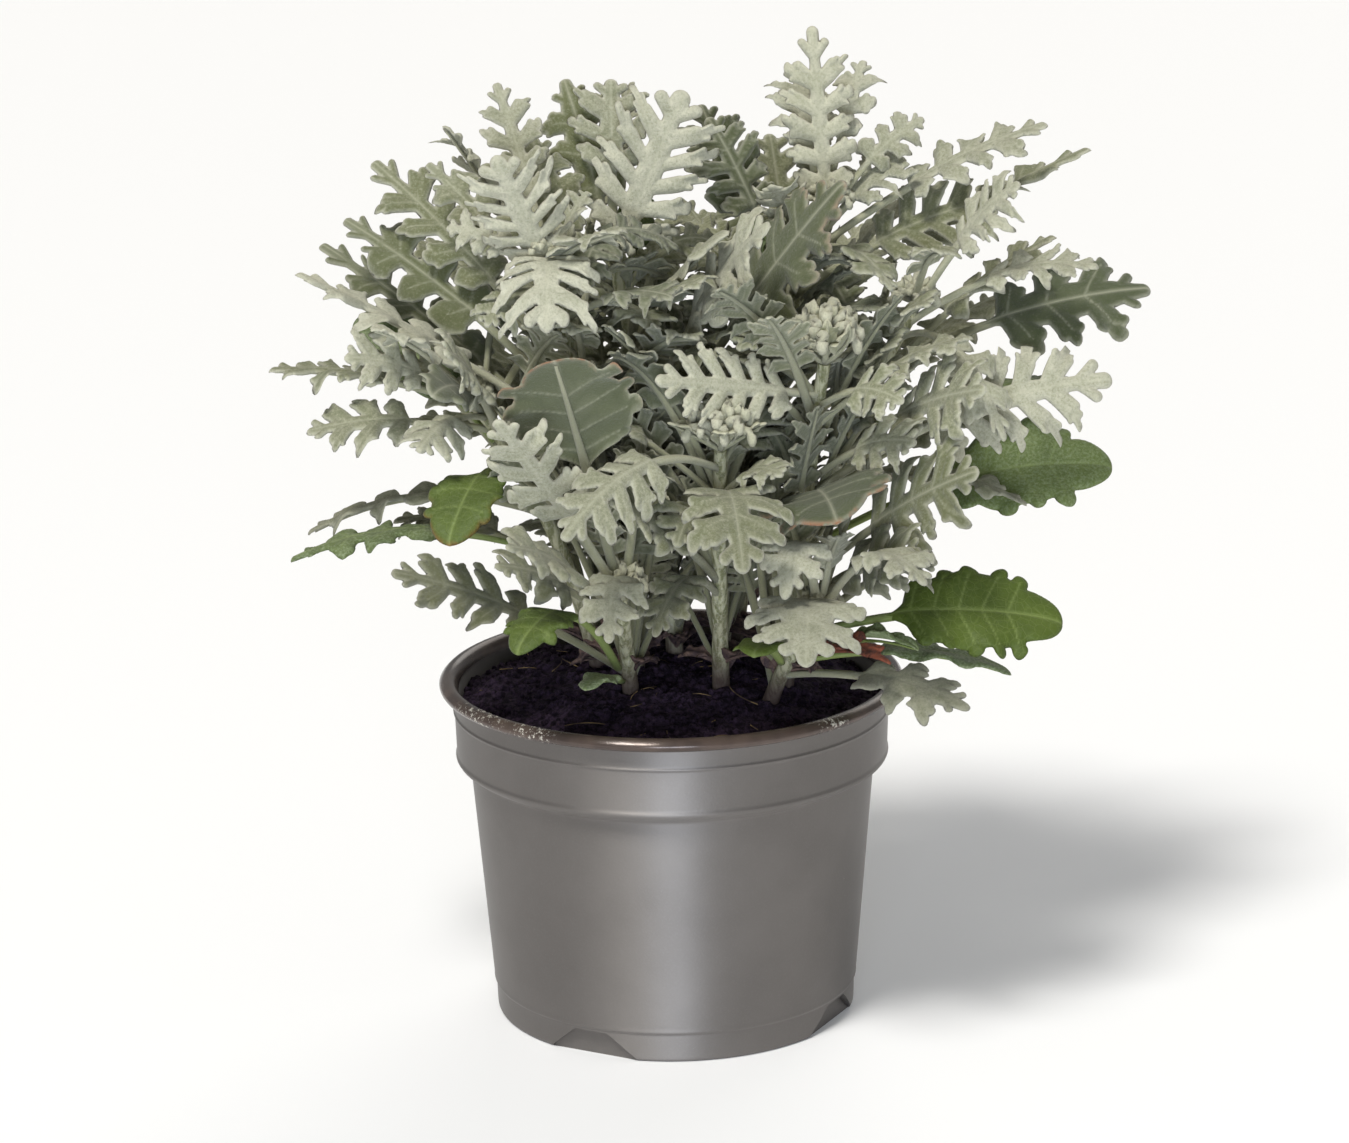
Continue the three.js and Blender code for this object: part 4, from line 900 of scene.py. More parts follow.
def at_height(shoot, height):
    """The share of a stem's curve at which it reaches a height, or its top."""
    shares = np.linspace(0, 1, 60)
    return float(np.interp(height, quadratic(*stem_line(shoot), shares)[0][:, 2], shares))


def between(ends, draw):
    """A random number between two ends."""
    return ends[0] + (ends[1] - ends[0]) * next(draw)


def inner_leaf(band, shoot, at, draw, seed):
    """A small leaf of a band, towards the crown's outside, or None if it is too short or hangs too low."""
    point, _ = on_stem(shoot, at)
    heading = 2 * math.pi * next(draw)
    way = unit(np.array([math.cos(heading), math.sin(heading), between(band["rise"], draw)]))
    egg = CROWN["centre"] + CROWN["reach"] * between(band["reach"], draw) * way
    tip = point + unit(egg - point) * min(np.linalg.norm(egg - point), between(band["long"], draw))
    kind = "cut" if next(draw) < 0.5 else "small"
    more = {"heading": math.degrees(heading), "roll": 60 * (next(draw) - 0.5)}
    more["lift"] = between(band["lift"], draw)
    if band["stalked"]:
        more["blade"] = 0.4
        more["bulge"] = -6 * next(draw)
    # A low tone: partly the greener felt of older leaves, partly painted shade deep in the crown.
    more["tone"] = max(0, between(band["shade"], draw))
    wide = between(band["wide"], draw)
    if np.linalg.norm(tip - point) < SHORTEST or tip[2] < LOWEST:
        return None
    return plant(leaf(kind, at, tip, wide, inner=True, **more), shoot, seed)


def clearest(choices, solids, grown):
    """The first leaf that crosses least, as how many faces it crosses, the leaf, its sheet and its box."""
    best = None
    for plan in choices:
        if plan is None:
            continue
        points, faces = leaf_sheet(plan)
        sheet = BVHTree.FromPolygons(points.tolist(), faces)
        low, high = points.min(0), points.max(0)
        crossed = len(sheet.overlap(solids))
        for other, other_low, other_high in grown:
            if (low < other_high).all() and (other_low < high).all():
                crossed += len(sheet.overlap(other))
        if best is None or crossed < best[0]:
            best = (crossed, plan, sheet, low, high)
        if crossed == 0:
            break
    return best


def inner_leaves():
    """Small leaves that fill the crown between the large ones, on every stem, each where it crosses least."""
    solids = packed_surface()
    draw = draws(SEEDS["inner"])
    grown = []
    found = {name: [] for name in SHOOTS}
    seed = SEEDS["inner_leaves"]
    for name, shoot in SHOOTS.items():
        for band in (dict(zip(BAND_KEYS, row)) for row in BANDS):
            halved = shoot["top"][2] < LOW_STEM and not band["stalked"]
            count = band["each"] // 2 if halved else band["each"]
            first, last = (at_height(shoot, min(height, shoot["top"][2])) for height in band["from"])
            for i in range(count):
                at = first + (last - first) * (i + 0.5) / count
                choices = (inner_leaf(band, shoot, at, draw, seed) for _ in range(TRIES))
                best = clearest(choices, solids, grown)
                seed += 1
                if best and best[0] <= MOST_CROSSED * (2 if band["stalked"] else 1):
                    found[name].append(best[1])
                    grown.append(best[2:])
    return found


def withered_leaves():
    """Old leaf bases, dried up and curled against the foot of each stem."""
    draw = draws(SEEDS["withered"])
    found = []
    for shoot in SHOOTS.values():
        for i in range(WITHERED["each"]):
            at = at_height(shoot, between(WITHERED["from"], draw))
            point, _ = on_stem(shoot, at)
            heading = i * GOLDEN_ANGLE + next(draw)
            way = np.array([math.cos(heading), math.sin(heading), 1.2 * next(draw) - 0.1])
            tip = point + unit(way) * between(WITHERED["long"], draw)
            more = {"heading": math.degrees(heading), **WITHERED_LEAF}
            plan = leaf("young", at, tip, between(WITHERED["wide"], draw), **more)
            found.append(plant(plan, shoot, SEEDS["withered_leaves"] + len(found)))
    return found


def add_finger(mesh, start, bend, end, thick, fresh):
    """Adds a young lobe: a short woolly finger along a curve, with a round end and its foot closed."""
    sides, rows = FINGER["sides"], len(FINGER["at"])
    k = np.arange(sides)
    around = k * 2 * math.pi / sides
    swell = thick * np.array(FINGER["swell"])
    points, along = quadratic(start, bend, end, FINGER["at"])
    wing = unit(np.cross(along, along[::-1] + np.array([0.3, 0.2, 0.7])))
    face = np.cross(wing, along)
    ring = points[:, None] + swell[:, None, None] * (
        wing[:, None] * np.cos(around)[:, None] + face[:, None] * np.sin(around)[:, None]
    )
    a, b = walls(rows, sides)
    first_pole, last_pole = np.full(sides, rows * sides), np.full(sides, rows * sides + 1)
    last = (rows - 1) * sides
    triangles = [
        np.stack((a, b, a + sides), 1),
        np.stack((b, b + sides, a + sides), 1),
        np.stack((first_pole, (k + 1) % sides, k), 1),
        np.stack((last_pole, last + k, last + (k + 1) % sides), 1),
    ]
    flat = np.concatenate((ring.reshape(-1, 3), [start], [end]))
    mesh.add(flat, np.concatenate(triangles), (0.95, 0.15, 0.25, 0), (0, fresh, 0, 0))


def add_young(mesh, name, shoot, draw):
    """Adds the youngest lobes over the top of a stem, hooked over like a mop."""
    knobs = KNOBS.get(name, KNOBS["any"])
    middle = np.array(shoot["top"], float) + UP * knobs["over"]
    for i in range(knobs["count"]):
        spread = ((i + 0.5) / knobs["count"]) ** 0.6
        turn = i * GOLDEN_ANGLE + 0.5 * next(draw)
        way = np.array([math.cos(turn), math.sin(turn), 0.0])
        reach = knobs["reach"] * (0.88 + 0.24 * next(draw))
        lean = math.radians(HOOK_LEAN) * spread
        out = way * math.sin(lean) + UP * math.cos(lean)
        line = [middle + (out * along + way * level + UP * up) * reach for along, level, up in HOOK]
        thick = knobs["finger"] * (0.8 + 0.4 * next(draw))
        add_finger(mesh, *line, thick, 0.05 + 0.2 * next(draw))


# ----------------------------------------------------------------------------------------- the pot
# Radii and heights of the pot, in millimetres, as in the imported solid.
POT = {
    "height": 97,
    "lip": 65,
    "lip_band": 3.6,
    "collar": 60.6,
    "step": 73.5,
    "wall_top": 56.6,
    "foot": 50.5,
    "ridge": 8.2,
    "wall": 1.5,
    "floor": 5.4,
    "disc": 24,
    "foot_lift": 2.4,
}
NOTCH = {"count": 4, "first": -27.6, "bottom": 27, "top": 11, "height": 7.4}
DRAIN = {"count": 4, "radius": 4, "circle": 33, "span": (-3, 9)}
SOIL = {"edge": 89.5, "dome": 100, "radius": 58.5, "rings": 48, "around": 144, "hole": 3.2}
SOIL_BELOW = ((0, 5.7), (46.8, 5.7), (54.6, 72.1), (58.5, 75.1))
LUMPS = ((9, 0, 1.7), (2.6, 40, 1.1))  # unevenness of the peat: its size, where it is taken, and its height
LIP_EDGE = (92.5, 94.2)  # heights between which the grey wall turns to the dark lip
# Limescale: places on the lip, and how far round them it reaches.
LIMESCALE = (((-52, -36, 96), 15), ((-37, -52, 96), 10), ((44, -47, 96), 7))
VEIN_NET = 2.4  # between the fine veins of a green leaf
# How far the crumbs and fibres turn and lean at most, in radians, and the radii of the crumbs, in metres.
CRUMB_TURN = ((0, 0, 0), (6.283, 6.283, 6.283))
FIBRE_TURN = ((-0.3, -0.3, 0), (0.3, 0.3, 6.283))
CRUMB_SIZES = (0.0004, 0.0016)

# --------------------------------------------------------------------------------------- the stage
# Places in metres; a light's power is a share of one of the sizes in the panel.
WARM = (1.0, 0.985, 0.94)
COOL = (0.78, 0.87, 1.0)
LIGHTS = {
    "key": {
        "kind": "SUN", "at": (-0.45, -0.8, 1.5), "aim": (0, 0, 0), "colour": WARM,
        "power": "key_strength", "share": 1.0, "settings": {"angle": math.radians(16)},
    },
    "back": {
        "kind": "SUN", "at": (0.4, 1.2, 1.0), "aim": (0, 0, 0), "colour": WARM,
        "power": "key_strength", "share": 0.25, "settings": {"angle": math.radians(40)},
    },
    # A low soft box in front, whose cool light draws the upright highlight on the pot.
    "front_box": {
        "kind": "AREA", "at": (0.0, -1.5, 0.24), "aim": (0, 0, 0.1), "colour": COOL,
        "power": "box_power", "share": 1.0, "settings": {"shape": "RECTANGLE", "size": 0.55, "size_y": 0.4},
    },
}
CAMERA = {"lens": 119.8, "at": (0.00137, -1.2, 0.459), "down": 0.271, "roll": -0.0147}


def rounded(profile, steps=5):
    """A profile of (radius, height, rounding) with its corners rounded off."""
    points = [np.array(row[:2], float) for row in profile]
    found = []
    for i, (point, row) in enumerate(zip(points, profile)):
        reach = row[2] if len(row) > 2 else 0
        if not reach or i in (0, len(points) - 1):
            found.append(point)
            continue
        before, after = points[i - 1] - point, points[i + 1] - point
        reach = min(reach, np.linalg.norm(before) * 0.49, np.linalg.norm(after) * 0.49)
        start, end = point + unit(before) * reach, point + unit(after) * reach
        found += list(quadratic(start, point, end, np.linspace(0, 1, steps))[0])
    return found


def pot_profile():
    """The pot's outline from below, over the lip, to its floor inside, as (radius, height, rounding)."""
    p = POT
    inner = {key: p[key] - p["wall"] for key in ("collar", "wall_top", "foot")}
    lip_foot = p["height"] - p["lip_band"]
    return [
        (0, 0),
        (p["disc"], 0, 1.2),
        (p["disc"] + 2, p["foot_lift"], 1.2),
        (p["foot"] - 8, p["foot_lift"], 1.2),
        (p["foot"] - 5, 0, 1),
        (p["foot"], 0, 1.2),
        (p["foot"] + 0.25, p["ridge"] - 0.2, 0.4),
        (p["foot"] + 0.9, p["ridge"] + 0.5, 0.5),
        (p["foot"] + 0.85, p["ridge"] + 1.6, 0.6),
        (p["wall_top"] - 0.1, p["step"] - 2.2, 0.8),
        (p["collar"] - 0.6, p["step"] - 0.2, 1.2),
        (p["collar"] + 0.1, p["step"] + 1.0, 0.6),
        (p["collar"] - 0.35, p["step"] + 2.0, 0.6),
        (p["collar"], lip_foot - 6.6, 0.5),
        (p["collar"] + 0.55, lip_foot - 6.0, 0.4),
        (p["collar"] + 0.1, lip_foot - 5.4, 0.4),
        (p["collar"] + 0.4, lip_foot - 0.3, 0.7),
        (p["lip"] - 0.9, lip_foot + 0.0, 1.2),
        (p["lip"], p["height"] - 1.9, 1.6),
        (p["lip"] - 1.8, p["height"], 1.8),
        (p["lip"] - 4.2, p["height"] - 0.4, 1.4),
        (inner["collar"] + 0.2, p["height"] - 3, 1.4),
        (inner["collar"], p["step"] + 1, 0.6),
        (inner["wall_top"], p["step"] - 1.5, 0.6),
        (inner["foot"] - 2, p["floor"], 1.5),
        (0, p["floor"]),
    ]


def circle(radius, count):
    """Evenly spaced points of a circle."""
    angles = (2 * math.pi * k / count for k in range(count))
    return [(radius * math.cos(angle), radius * math.sin(angle)) for angle in angles]


def from_faces(name, made):
    """A piece from a mesh in the making, with its faces turned outwards."""
    bmesh.ops.recalc_face_normals(made, faces=made.faces)
    mesh = bpy.data.meshes.new(name)
    made.to_mesh(mesh)
    made.free()
    return linked(name, mesh)


def turned(name, profile, segments, skin):
    """A profile turned about the pot's axis, from pole to pole, as a closed piece."""
    made = bmesh.new()
    rings = []
    for radius, height in profile:
        spots = circle(radius, segments) if radius > 1e-6 else [(0, 0)]
        rings.append([made.verts.new((x * MM, y * MM, height * MM)) for x, y in spots])
    for low, high in zip(rings, rings[1:]):
        for k in range(segments):
            nxt = (k + 1) % segments
            corners = [low[k % len(low)], low[nxt % len(low)], high[nxt % len(high)], high[k % len(high)]]
            made.faces.new(list(dict.fromkeys(corners))).smooth = True
    piece = from_faces(name, made)
    piece.data.materials.append(material_of(skin))
    return piece


def prism(name, outline, low, high, lay):
    """A straight block with the given outline, laid by a matrix, to cut another piece with."""
    made = bmesh.new()
    rows = []
    for level in (low, high):
        rows.append([made.verts.new(lay @ Vector((x, level, z)) * MM) for x, z in outline])
    made.faces.new(rows[0])
    made.faces.new(rows[1][::-1])
    for k in range(len(outline)):
        nxt = (k + 1) % len(outline)
        made.faces.new((rows[0][nxt], rows[0][k], rows[1][k], rows[1][nxt]))
    return from_faces(name, made)


def applied(piece):
    """Turns a piece with its modifiers into a plain mesh at the origin."""
    depsgraph = bpy.context.evaluated_depsgraph_get()
    mesh = bpy.data.meshes.new_from_object(piece.evaluated_get(depsgraph), depsgraph=depsgraph)
    piece.modifiers.clear()
    old = piece.data
    piece.data = mesh
    bpy.data.meshes.remove(old)
    mesh.name = piece.name
    return piece


def cut(piece, cutters):
    """Cuts blocks out of a piece, and leaves it with smooth faces."""
    for cutter in cutters:
        modifier = piece.modifiers.new("cut", "BOOLEAN")
        modifier.operation = "DIFFERENCE"
        modifier.solver = "EXACT"
        modifier.object = cutter
    applied(piece)
    piece.data.polygons.foreach_set("use_smooth", np.ones(len(piece.data.polygons), dtype=bool))
    for cutter in cutters:
        mesh = cutter.data
        bpy.data.objects.remove(cutter)
        bpy.data.meshes.remove(mesh)


def seat(piece, slot, *nodes):
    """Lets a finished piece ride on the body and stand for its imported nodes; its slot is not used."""
    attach(piece, "root")
    if nodes:
        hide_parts(*nodes)


# --------------------------------------------------------------------------------------- materials
def srgb(code):
    """An sRGB hex colour as linear values."""
    parts = [int(code[i : i + 2], 16) / 255 for i in (1, 3, 5)]
    return (*(part / 12.92 if part <= 0.04045 else ((part + 0.055) / 1.055) ** 2.4 for part in parts), 1.0)


def node(tree, kind, inputs=None, **settings):
    """Adds a node with its settings; an input is a value or the socket that it is linked to."""
    made = tree.nodes.new(kind)
    for name, value in settings.items():
        setattr(made, name, value)
    for socket, value in (inputs or {}).items():
        if isinstance(value, bpy.types.NodeSocket):
            tree.links.new(value, made.inputs[socket])
        else:
            made.inputs[socket].default_value = value
    return made


class Skin:
    """A material in the making, with the piece's own coordinates in metres, and the user's colours."""

    def __init__(self, title):
        self.material = bpy.data.materials.new(title)
        self.material.use_nodes = True
        self.tree = self.material.node_tree
        self.tree.nodes.clear()
        self.colours = bpy.context.scene.miller_colours

    @cached_property
    def where(self):
        """Where a point of the piece is."""
        return node(self.tree, "ShaderNodeTexCoord").outputs["Object"]

    @cached_property
    def level(self):
        """How high a point of the piece is."""
        return node(self.tree, "ShaderNodeSeparateXYZ", {0: self.where}).outputs["Z"]

    def product(self, *parts):
        """Sockets, numbers and ramps multiplied; a ramp is (socket, from, to), then its ends if not 0, 1."""
        whole = None
        for part in parts:
            if isinstance(part, tuple):
                value, low, high, first, last = (*part, 0.0, 1.0)[:5]
                inputs = {"Value": value, "From Min": low, "From Max": high, "To Min": first, "To Max": last}
                ramp = node(self.tree, "ShaderNodeMapRange", inputs, interpolation_type="SMOOTHSTEP")
                part = ramp.outputs["Result"]
            if whole is not None:
                part = node(self.tree, "ShaderNodeMath", {0: whole, 1: part}, operation="MULTIPLY").outputs[0]
            whole = part
        return whole

    def layered(self, colour, layers):
        """A colour under layers; each layer is a colour and what is multiplied for its share."""
        colour = srgb(colour) if isinstance(colour, str) else colour
        for over, *parts in layers:
            over = srgb(over) if isinstance(over, str) else over
            inputs = {0: self.product(*parts), 6: colour, 7: over}
            colour = node(self.tree, "ShaderNodeMix", inputs, data_type="RGBA").outputs[2]
        return colour

    def patterns(self, *kinds, where=None):
        """Random patterns, each with features of a size in millimetres, a detail and a roughness."""
        found = []
        for size, detail, roughness in kinds:
            inputs = {"Vector": where or self.where, "Scale": 1 / MM / size}
            inputs.update({"Detail": detail, "Roughness": roughness})
            found.append(node(self.tree, "ShaderNodeTexNoise", inputs).outputs["Fac"])
        return found

    def leaf_marks(self):
        """The marks that a leaf's mesh carries, by name."""
        found = {}
        for layer, titles in MARKS.items():
            given = node(self.tree, "ShaderNodeAttribute", attribute_name=layer).outputs
            parts = node(self.tree, "ShaderNodeSeparateColor", {0: given["Color"]}).outputs
            found.update(zip(titles, (*parts, given["Alpha"])))
        return found

    def finish(self, inputs, height=None, second=None, strength=1.0, depth=0.5):
        """Ends a material in its surface, bumped by one height or the sum of two, to a depth in mm."""
        if second is not None:
            height = node(self.tree, "ShaderNodeMath", {0: height, 1: second}, operation="ADD").outputs[0]
        if height is not None:
            bumps = {"Strength": strength, "Distance": depth * MM, "Height": height}
            inputs = {**inputs, "Normal": node(self.tree, "ShaderNodeBump", bumps).outputs[0]}
        surface = node(self.tree, "ShaderNodeBsdfPrincipled", inputs).outputs[0]
        node(self.tree, "ShaderNodeOutputMaterial", {"Surface": surface})


def silver_felt(skin):
    """Silver tomentum: a dense mat of white hairs over a grey-green leaf, soft, matt and pale-edged."""
    # Drifts of thinner and thicker felt about 7 mm across, its tufts, its woolly grain, which is drawn at
    # 0.75 mm to show, though real hairs are far finer, and blotches of scorch.
    kinds = ((7, 4, 0.55), (2.4, 3, 0.6), (0.75, 4, 0.8), (3, 3, 0.55))
    drift, tufts, wool, blotches = skin.patterns(*kinds)
    mark = skin.leaf_marks()
    tone = mark["tone"]
    worn = skin.product((tone, 0.2, 1.0, 1.0, 0.6), (tone, 0.0, 0.35, 0.35, 1.0))
    layers = (
        (skin.colours.felt_grey, (tone, 0.0, 0.35)),
        (skin.colours.felt_white, (tone, 0.3, 1.0)),
        (skin.colours.felt_thin, worn, (drift, 0.42, 0.72, 0.0, 0.5)),
        ("#5C633A", worn, (tufts, 0.35, 0.65, 0.24, 0.0)),
        ("#555B33", worn, (wool, 0.34, 0.56, 0.62, 0.0)),
        ("#CFCDB9", (tone, 0.0, 0.5, 0.28, 1.0), (wool, 0.52, 0.72, 0.0, 0.38)),
        ("#83876B", mark["under"], 0.35),
        ("#BDBCA4", mark["vein"], 0.5),
        ("#C5C3AE", mark["rim"], (tone, 0.0, 0.4, 0.45, 0.8)),
        # Low in the plant the felt is darkened: partly thinner, duller felt, partly painted shade under the
        # crown.
        ("#3C3C20", (skin.level, 0.1, 0.185, 0.78, 0.0), (tone, 0.5, 0.9, 1.0, 0.35)),
        ("#9E9D73", mark["stalk"], 0.5),
        ("#D3CFA4", mark["fresh"], 0.75),
        ("#8F6242", mark["scorch"], (blotches, 0.38, 0.6)),
    )
    inputs = {"Base Color": skin.layered(skin.colours.felt_gone, layers), "Roughness": 0.92}
    inputs.update({"Sheen Weight": 0.25, "Sheen Roughness": 0.6, "Specular IOR Level": 0.2})
    skin.finish(inputs, wool, skin.product(tufts, 0.9), strength=0.8)


def green_leaf(skin):
    """An older leaf that has shed its felt: smooth waxy green with a net of paler veins and a thin bloom."""
    # Drifts of colour, the last hairs, drawn at 0.8 mm to show, blotches of scorch, and the skin's
    # unevenness.
    kinds = ((9, 4, 0.55), (0.8, 3, 0.7), (3, 3, 0.55), (1.4, 3, 0.55))
    drift, hairs, blotches, unevenness = skin.patterns(*kinds)
    cells = {"Vector": skin.where, "Scale": 1 / MM / VEIN_NET}
    net = node(skin.tree, "ShaderNodeTexVoronoi", cells, feature="DISTANCE_TO_EDGE").outputs["Distance"]
    veins = skin.product((net, 0.0, 0.09, 1.0, 0.0))
    mark = skin.leaf_marks()
    layers = (
        (skin.colours.green_light, mark["tone"]),
        ("#5D6E22", (drift, 0.35, 0.7, 0.0, 0.3)),
        ("#84924F", veins, 0.12),
        ("#8F9E5E", mark["vein"], 0.42),
        ("#8C9B72", mark["under"], 0.5),
        ("#A3AE8E", (hairs, 0.38, 0.72, 0.3, 1.0), mark["fresh"]),
        ("#A8B47A", mark["stalk"], 0.5),
        ("#8A4F2A", mark["scorch"], (blotches, 0.35, 0.55)),
    )
    inputs = {"Base Color": skin.layered(skin.colours.green_dark, layers), "Roughness": 0.55, "IOR": 1.45}
    inputs.update({"Sheen Weight": 0.03, "Specular IOR Level": 0.25})
    skin.finish(inputs, unevenness, skin.product(veins, -0.35), strength=0.5, depth=0.35)


def dry_leaf(skin):
    """A withered leaf: thin, brittle and papery, red-brown with darker creases."""
    (creases,) = skin.patterns((3, 5, 0.7))
    colour = skin.layered("#3A1D16", [("#783E29", (creases, 0.35, 0.65))])
    skin.finish({"Base Color": colour, "Roughness": 0.8}, creases, strength=0.7)


def withered(skin):
    """Dead leaf bases at the foot of the plant: limp, dark and purple-brown."""
    (creases,) = skin.patterns((2.5, 4, 0.65))
    colour = skin.layered("#33252A", [("#66524A", (creases, 0.35, 0.65))])
    skin.finish({"Base Color": colour, "Roughness": 0.8}, creases, strength=0.7)


def root_fibre(skin):
    """Dry root and peat fibres: thin, matt and orange-brown."""
    (stains,) = skin.patterns((5, 2, 0.55))
    colour = skin.layered("#4A3A2C", [("#8A7350", (stains, 0.4, 0.6))])
    skin.finish({"Base Color": colour, "Roughness": 0.85})


def stem_skin(skin):
    """A stem under thin felt: cream-green with fine lengthwise ribs, and purple-brown towards the peat."""
    drawn_out = {0: skin.where, 1: (1.0, 1.0, 0.1)}
    along = node(skin.tree, "ShaderNodeVectorMath", drawn_out, operation="MULTIPLY").outputs[0]
    (ribs,) = skin.patterns((1.3, 3, 0.6), where=along)
    wool, patches = skin.patterns((0.9, 4, 0.75), (9, 3, 0.55))
    layers = (
        ("#B7B698", (ribs, 0.4, 0.6)),
        ("#C6C5B6", (wool, 0.45, 0.7, 0.0, 0.5)),
        ("#5C4A44", (patches, 0.4, 0.62), (skin.level, 0.1, 0.135, 1.0, 0.0), 0.45),
        ("#3E2D30", (skin.level, 0.098, 0.112, 0.85, 0.0)),
    )
    inputs = {"Base Color": skin.layered("#787A58", layers), "Roughness": 0.85, "Specular IOR Level": 0.25}
    skin.finish(inputs, ribs, skin.product(wool, 0.5), strength=0.8)


def peat(skin):
    """Moist potting peat: near-black, crumbly, with lighter brown bits of fibre."""
    lumps, threads = skin.patterns((2.2, 6, 0.7), (0.8, 4, 0.7))
    layers = ((skin.colours.peat, (lumps, 0.4, 0.62)), ("#5A4A3C", (threads, 0.56, 0.74, 0.0, 0.5)))
    inputs = {"Base Color": skin.layered("#1C1420", layers), "Roughness": 0.95, "Specular IOR Level": 0.15}
    skin.finish(inputs, lumps, threads, depth=2)


def pot_plastic(skin):
    """Thermoformed polypropylene with a pearl pigment: satin grey with a metallic glint.

    Its lip is dark and glossy, with flecks of limescale where water has dried.
    """
    # The pearl's flakes, drawn at 0.6 mm to show, its clouds, dust, and the grain and the smears of the
    # lip.
    kinds = ((0.6, 2, 0.55), (26, 3, 0.55), (1.1, 4, 0.7), (1.2, 5, 0.75), (12, 3, 0.55))
    pearl, cloud, specks, grains, smears = skin.patterns(*kinds)
    lip = skin.product((skin.level, *(edge * MM for edge in LIP_EDGE)))
    dried = 0.0
    for middle, reach in LIMESCALE:
        ends = {0: skin.where, 1: tuple(value * MM for value in middle)}
        far = node(skin.tree, "ShaderNodeVectorMath", ends, operation="DISTANCE").outputs["Value"]
        near = skin.product((far, 0.0, reach * MM, 1.0, 0.0))
        dried = node(skin.tree, "ShaderNodeMath", {0: dried, 1: near}, operation="MAXIMUM").outputs[0]
    scale = skin.product((grains, 0.54, 0.64), dried, 1.6)
    layers = (
        (skin.colours.pot_shade, (cloud, 0.2, 0.8)),
        ("#8A8786", (pearl, 0.45, 0.7, 0.0, 0.2)),
        ("#C9C6C0", (specks, 0.68, 0.75), (cloud, 0.48, 0.7), 0.4),
    )
    lip_colour = skin.layered(skin.colours.lip, (("#574A43", (smears, 0.4, 0.6)), ("#DAD5C9", scale)))
    colour = skin.layered(skin.layered(skin.colours.pot, layers), [(lip_colour, lip)])
    roughness = {0: skin.product((lip, 0.0, 1.0, 0.52, 0.22)), 1: skin.product(scale, lip, 0.5)}
    roughness = node(skin.tree, "ShaderNodeMath", roughness, operation="ADD").outputs[0]
    metallic = skin.product((lip, 0.0, 1.0, 0.9, 0.3))
    inputs = {"Base Color": colour, "Roughness": roughness, "Metallic": metallic}
    # The pearl flakes lie stretched upright in the drawn wall, so its highlight is tall and narrow.
    inputs.update({"Anisotropic": 0.8, "Anisotropic Rotation": 0.25})
    skin.finish(inputs, pearl, strength=0.12, depth=0.2)


def studio_paper(skin):
    """Seamless studio paper: matt and pale."""
    skin.finish({"Base Color": srgb("#F4F4F5"), "Roughness": 0.9})


# Each material by the short name that this script calls it by.
SKINS = {
    "silver_felt": ("silver_leaf_felt", silver_felt),
    "green_leaf": ("green_leaf_skin", green_leaf),
    "dry_leaf": ("dry_leaf_paper", dry_leaf),
    "withered": ("withered_leaf", withered),
    "stem_skin": ("felted_stem", stem_skin),
    "peat": ("moist_peat", peat),
    "root_fibre": ("root_fibre", root_fibre),
    "pot_plastic": ("pearl_polypropylene", pot_plastic),
    "paper": ("pale_studio_paper", studio_paper),
}
MADE = {}


def material_of(name):
    """A material by its short name, made when it is first asked for."""
    if name not in MADE:
        title, dress = SKINS[name]
        skin = Skin(title)
        dress(skin)
        MADE[name] = skin.material
    return MADE[name]


# -------------------------------------------------------------------------------------- node trees
def geometry_tree(name, inputs):
    """A tree of geometry nodes with named inputs, and the sockets that give them."""
    tree = bpy.data.node_groups.new(name, "GeometryNodeTree")
    for way in ("INPUT", "OUTPUT"):
        tree.interface.new_socket("Geometry", in_out=way, socket_type="NodeSocketGeometry")
    kinds = {tuple: "NodeSocketVector", float: "NodeSocketFloat", int: "NodeSocketInt"}
    for title, value in inputs.items():
        tree.interface.new_socket(title, in_out="INPUT", socket_type=kinds[type(value)]).default_value = value
    return tree, node(tree, "NodeGroupInput").outputs


def close_tree(tree, geometry, material):
    """Ends a tree in plain geometry with its material."""
    plain = node(tree, "GeometryNodeRealizeInstances", {"Geometry": geometry})
    finished = node(tree, "GeometryNodeSetMaterial", {"Geometry": plain.outputs[0], "Material": material})
    node(tree, "NodeGroupOutput", {"Geometry": finished.outputs[0]})


def stem_tree(material):
    """A stem: a tapered round tube along a curve from its foot, by way of a middle point, to its top."""
    foot, top = STEM["foot_radius"] * MM, STEM["top_radius"] * MM
    inputs = {"Foot": (0.0, 0.0, 0.0), "Middle": (0.0, 0.0, 0.05), "Top": (0.0, 0.0, 0.1)}
    tree, given = geometry_tree("stem", {**inputs, "Foot radius": foot, "Top radius": top})
    inputs = {"Resolution": 28, "Start": given["Foot"], "Middle": given["Middle"], "End": given["Top"]}
    line = node(tree, "GeometryNodeCurveQuadraticBezier", inputs)
    along = node(tree, "GeometryNodeSplineParameter").outputs["Factor"]
    inputs = {"Value": along, "To Min": given["Foot radius"], "To Max": given["Top radius"]}
    radius = node(tree, "ShaderNodeMapRange", inputs).outputs["Result"]
    # Leaf scars and ribs swell the stem by up to 15 hundredths of its radius, every 6 mm or so.
    bumps = node(tree, "ShaderNodeTexNoise", {"Scale": 160.0, "Detail": 2.0}).outputs["Fac"]
    swell = node(tree, "ShaderNodeMapRange", {"Value": bumps, "To Min": 0.85, "To Max": 1.15})
    inputs = {0: radius, 1: swell.outputs["Result"]}
    radius = node(tree, "ShaderNodeMath", inputs, operation="MULTIPLY").outputs[0]
    curve = node(tree, "GeometryNodeSetCurveRadius", {"Curve": line.outputs[0], "Radius": radius})
    ring = node(tree, "GeometryNodeCurvePrimitiveCircle", {"Resolution": 12, "Radius": 1.0})
    inputs = {"Curve": curve.outputs[0], "Profile Curve": ring.outputs[0], "Fill Caps": True, "Scale": radius}
    tube = node(tree, "GeometryNodeCurveToMesh", inputs)
    smooth = node(tree, "GeometryNodeSetShadeSmooth", {"Geometry": tube.outputs[0]})
    close_tree(tree, smooth.outputs[0], material)
    return tree


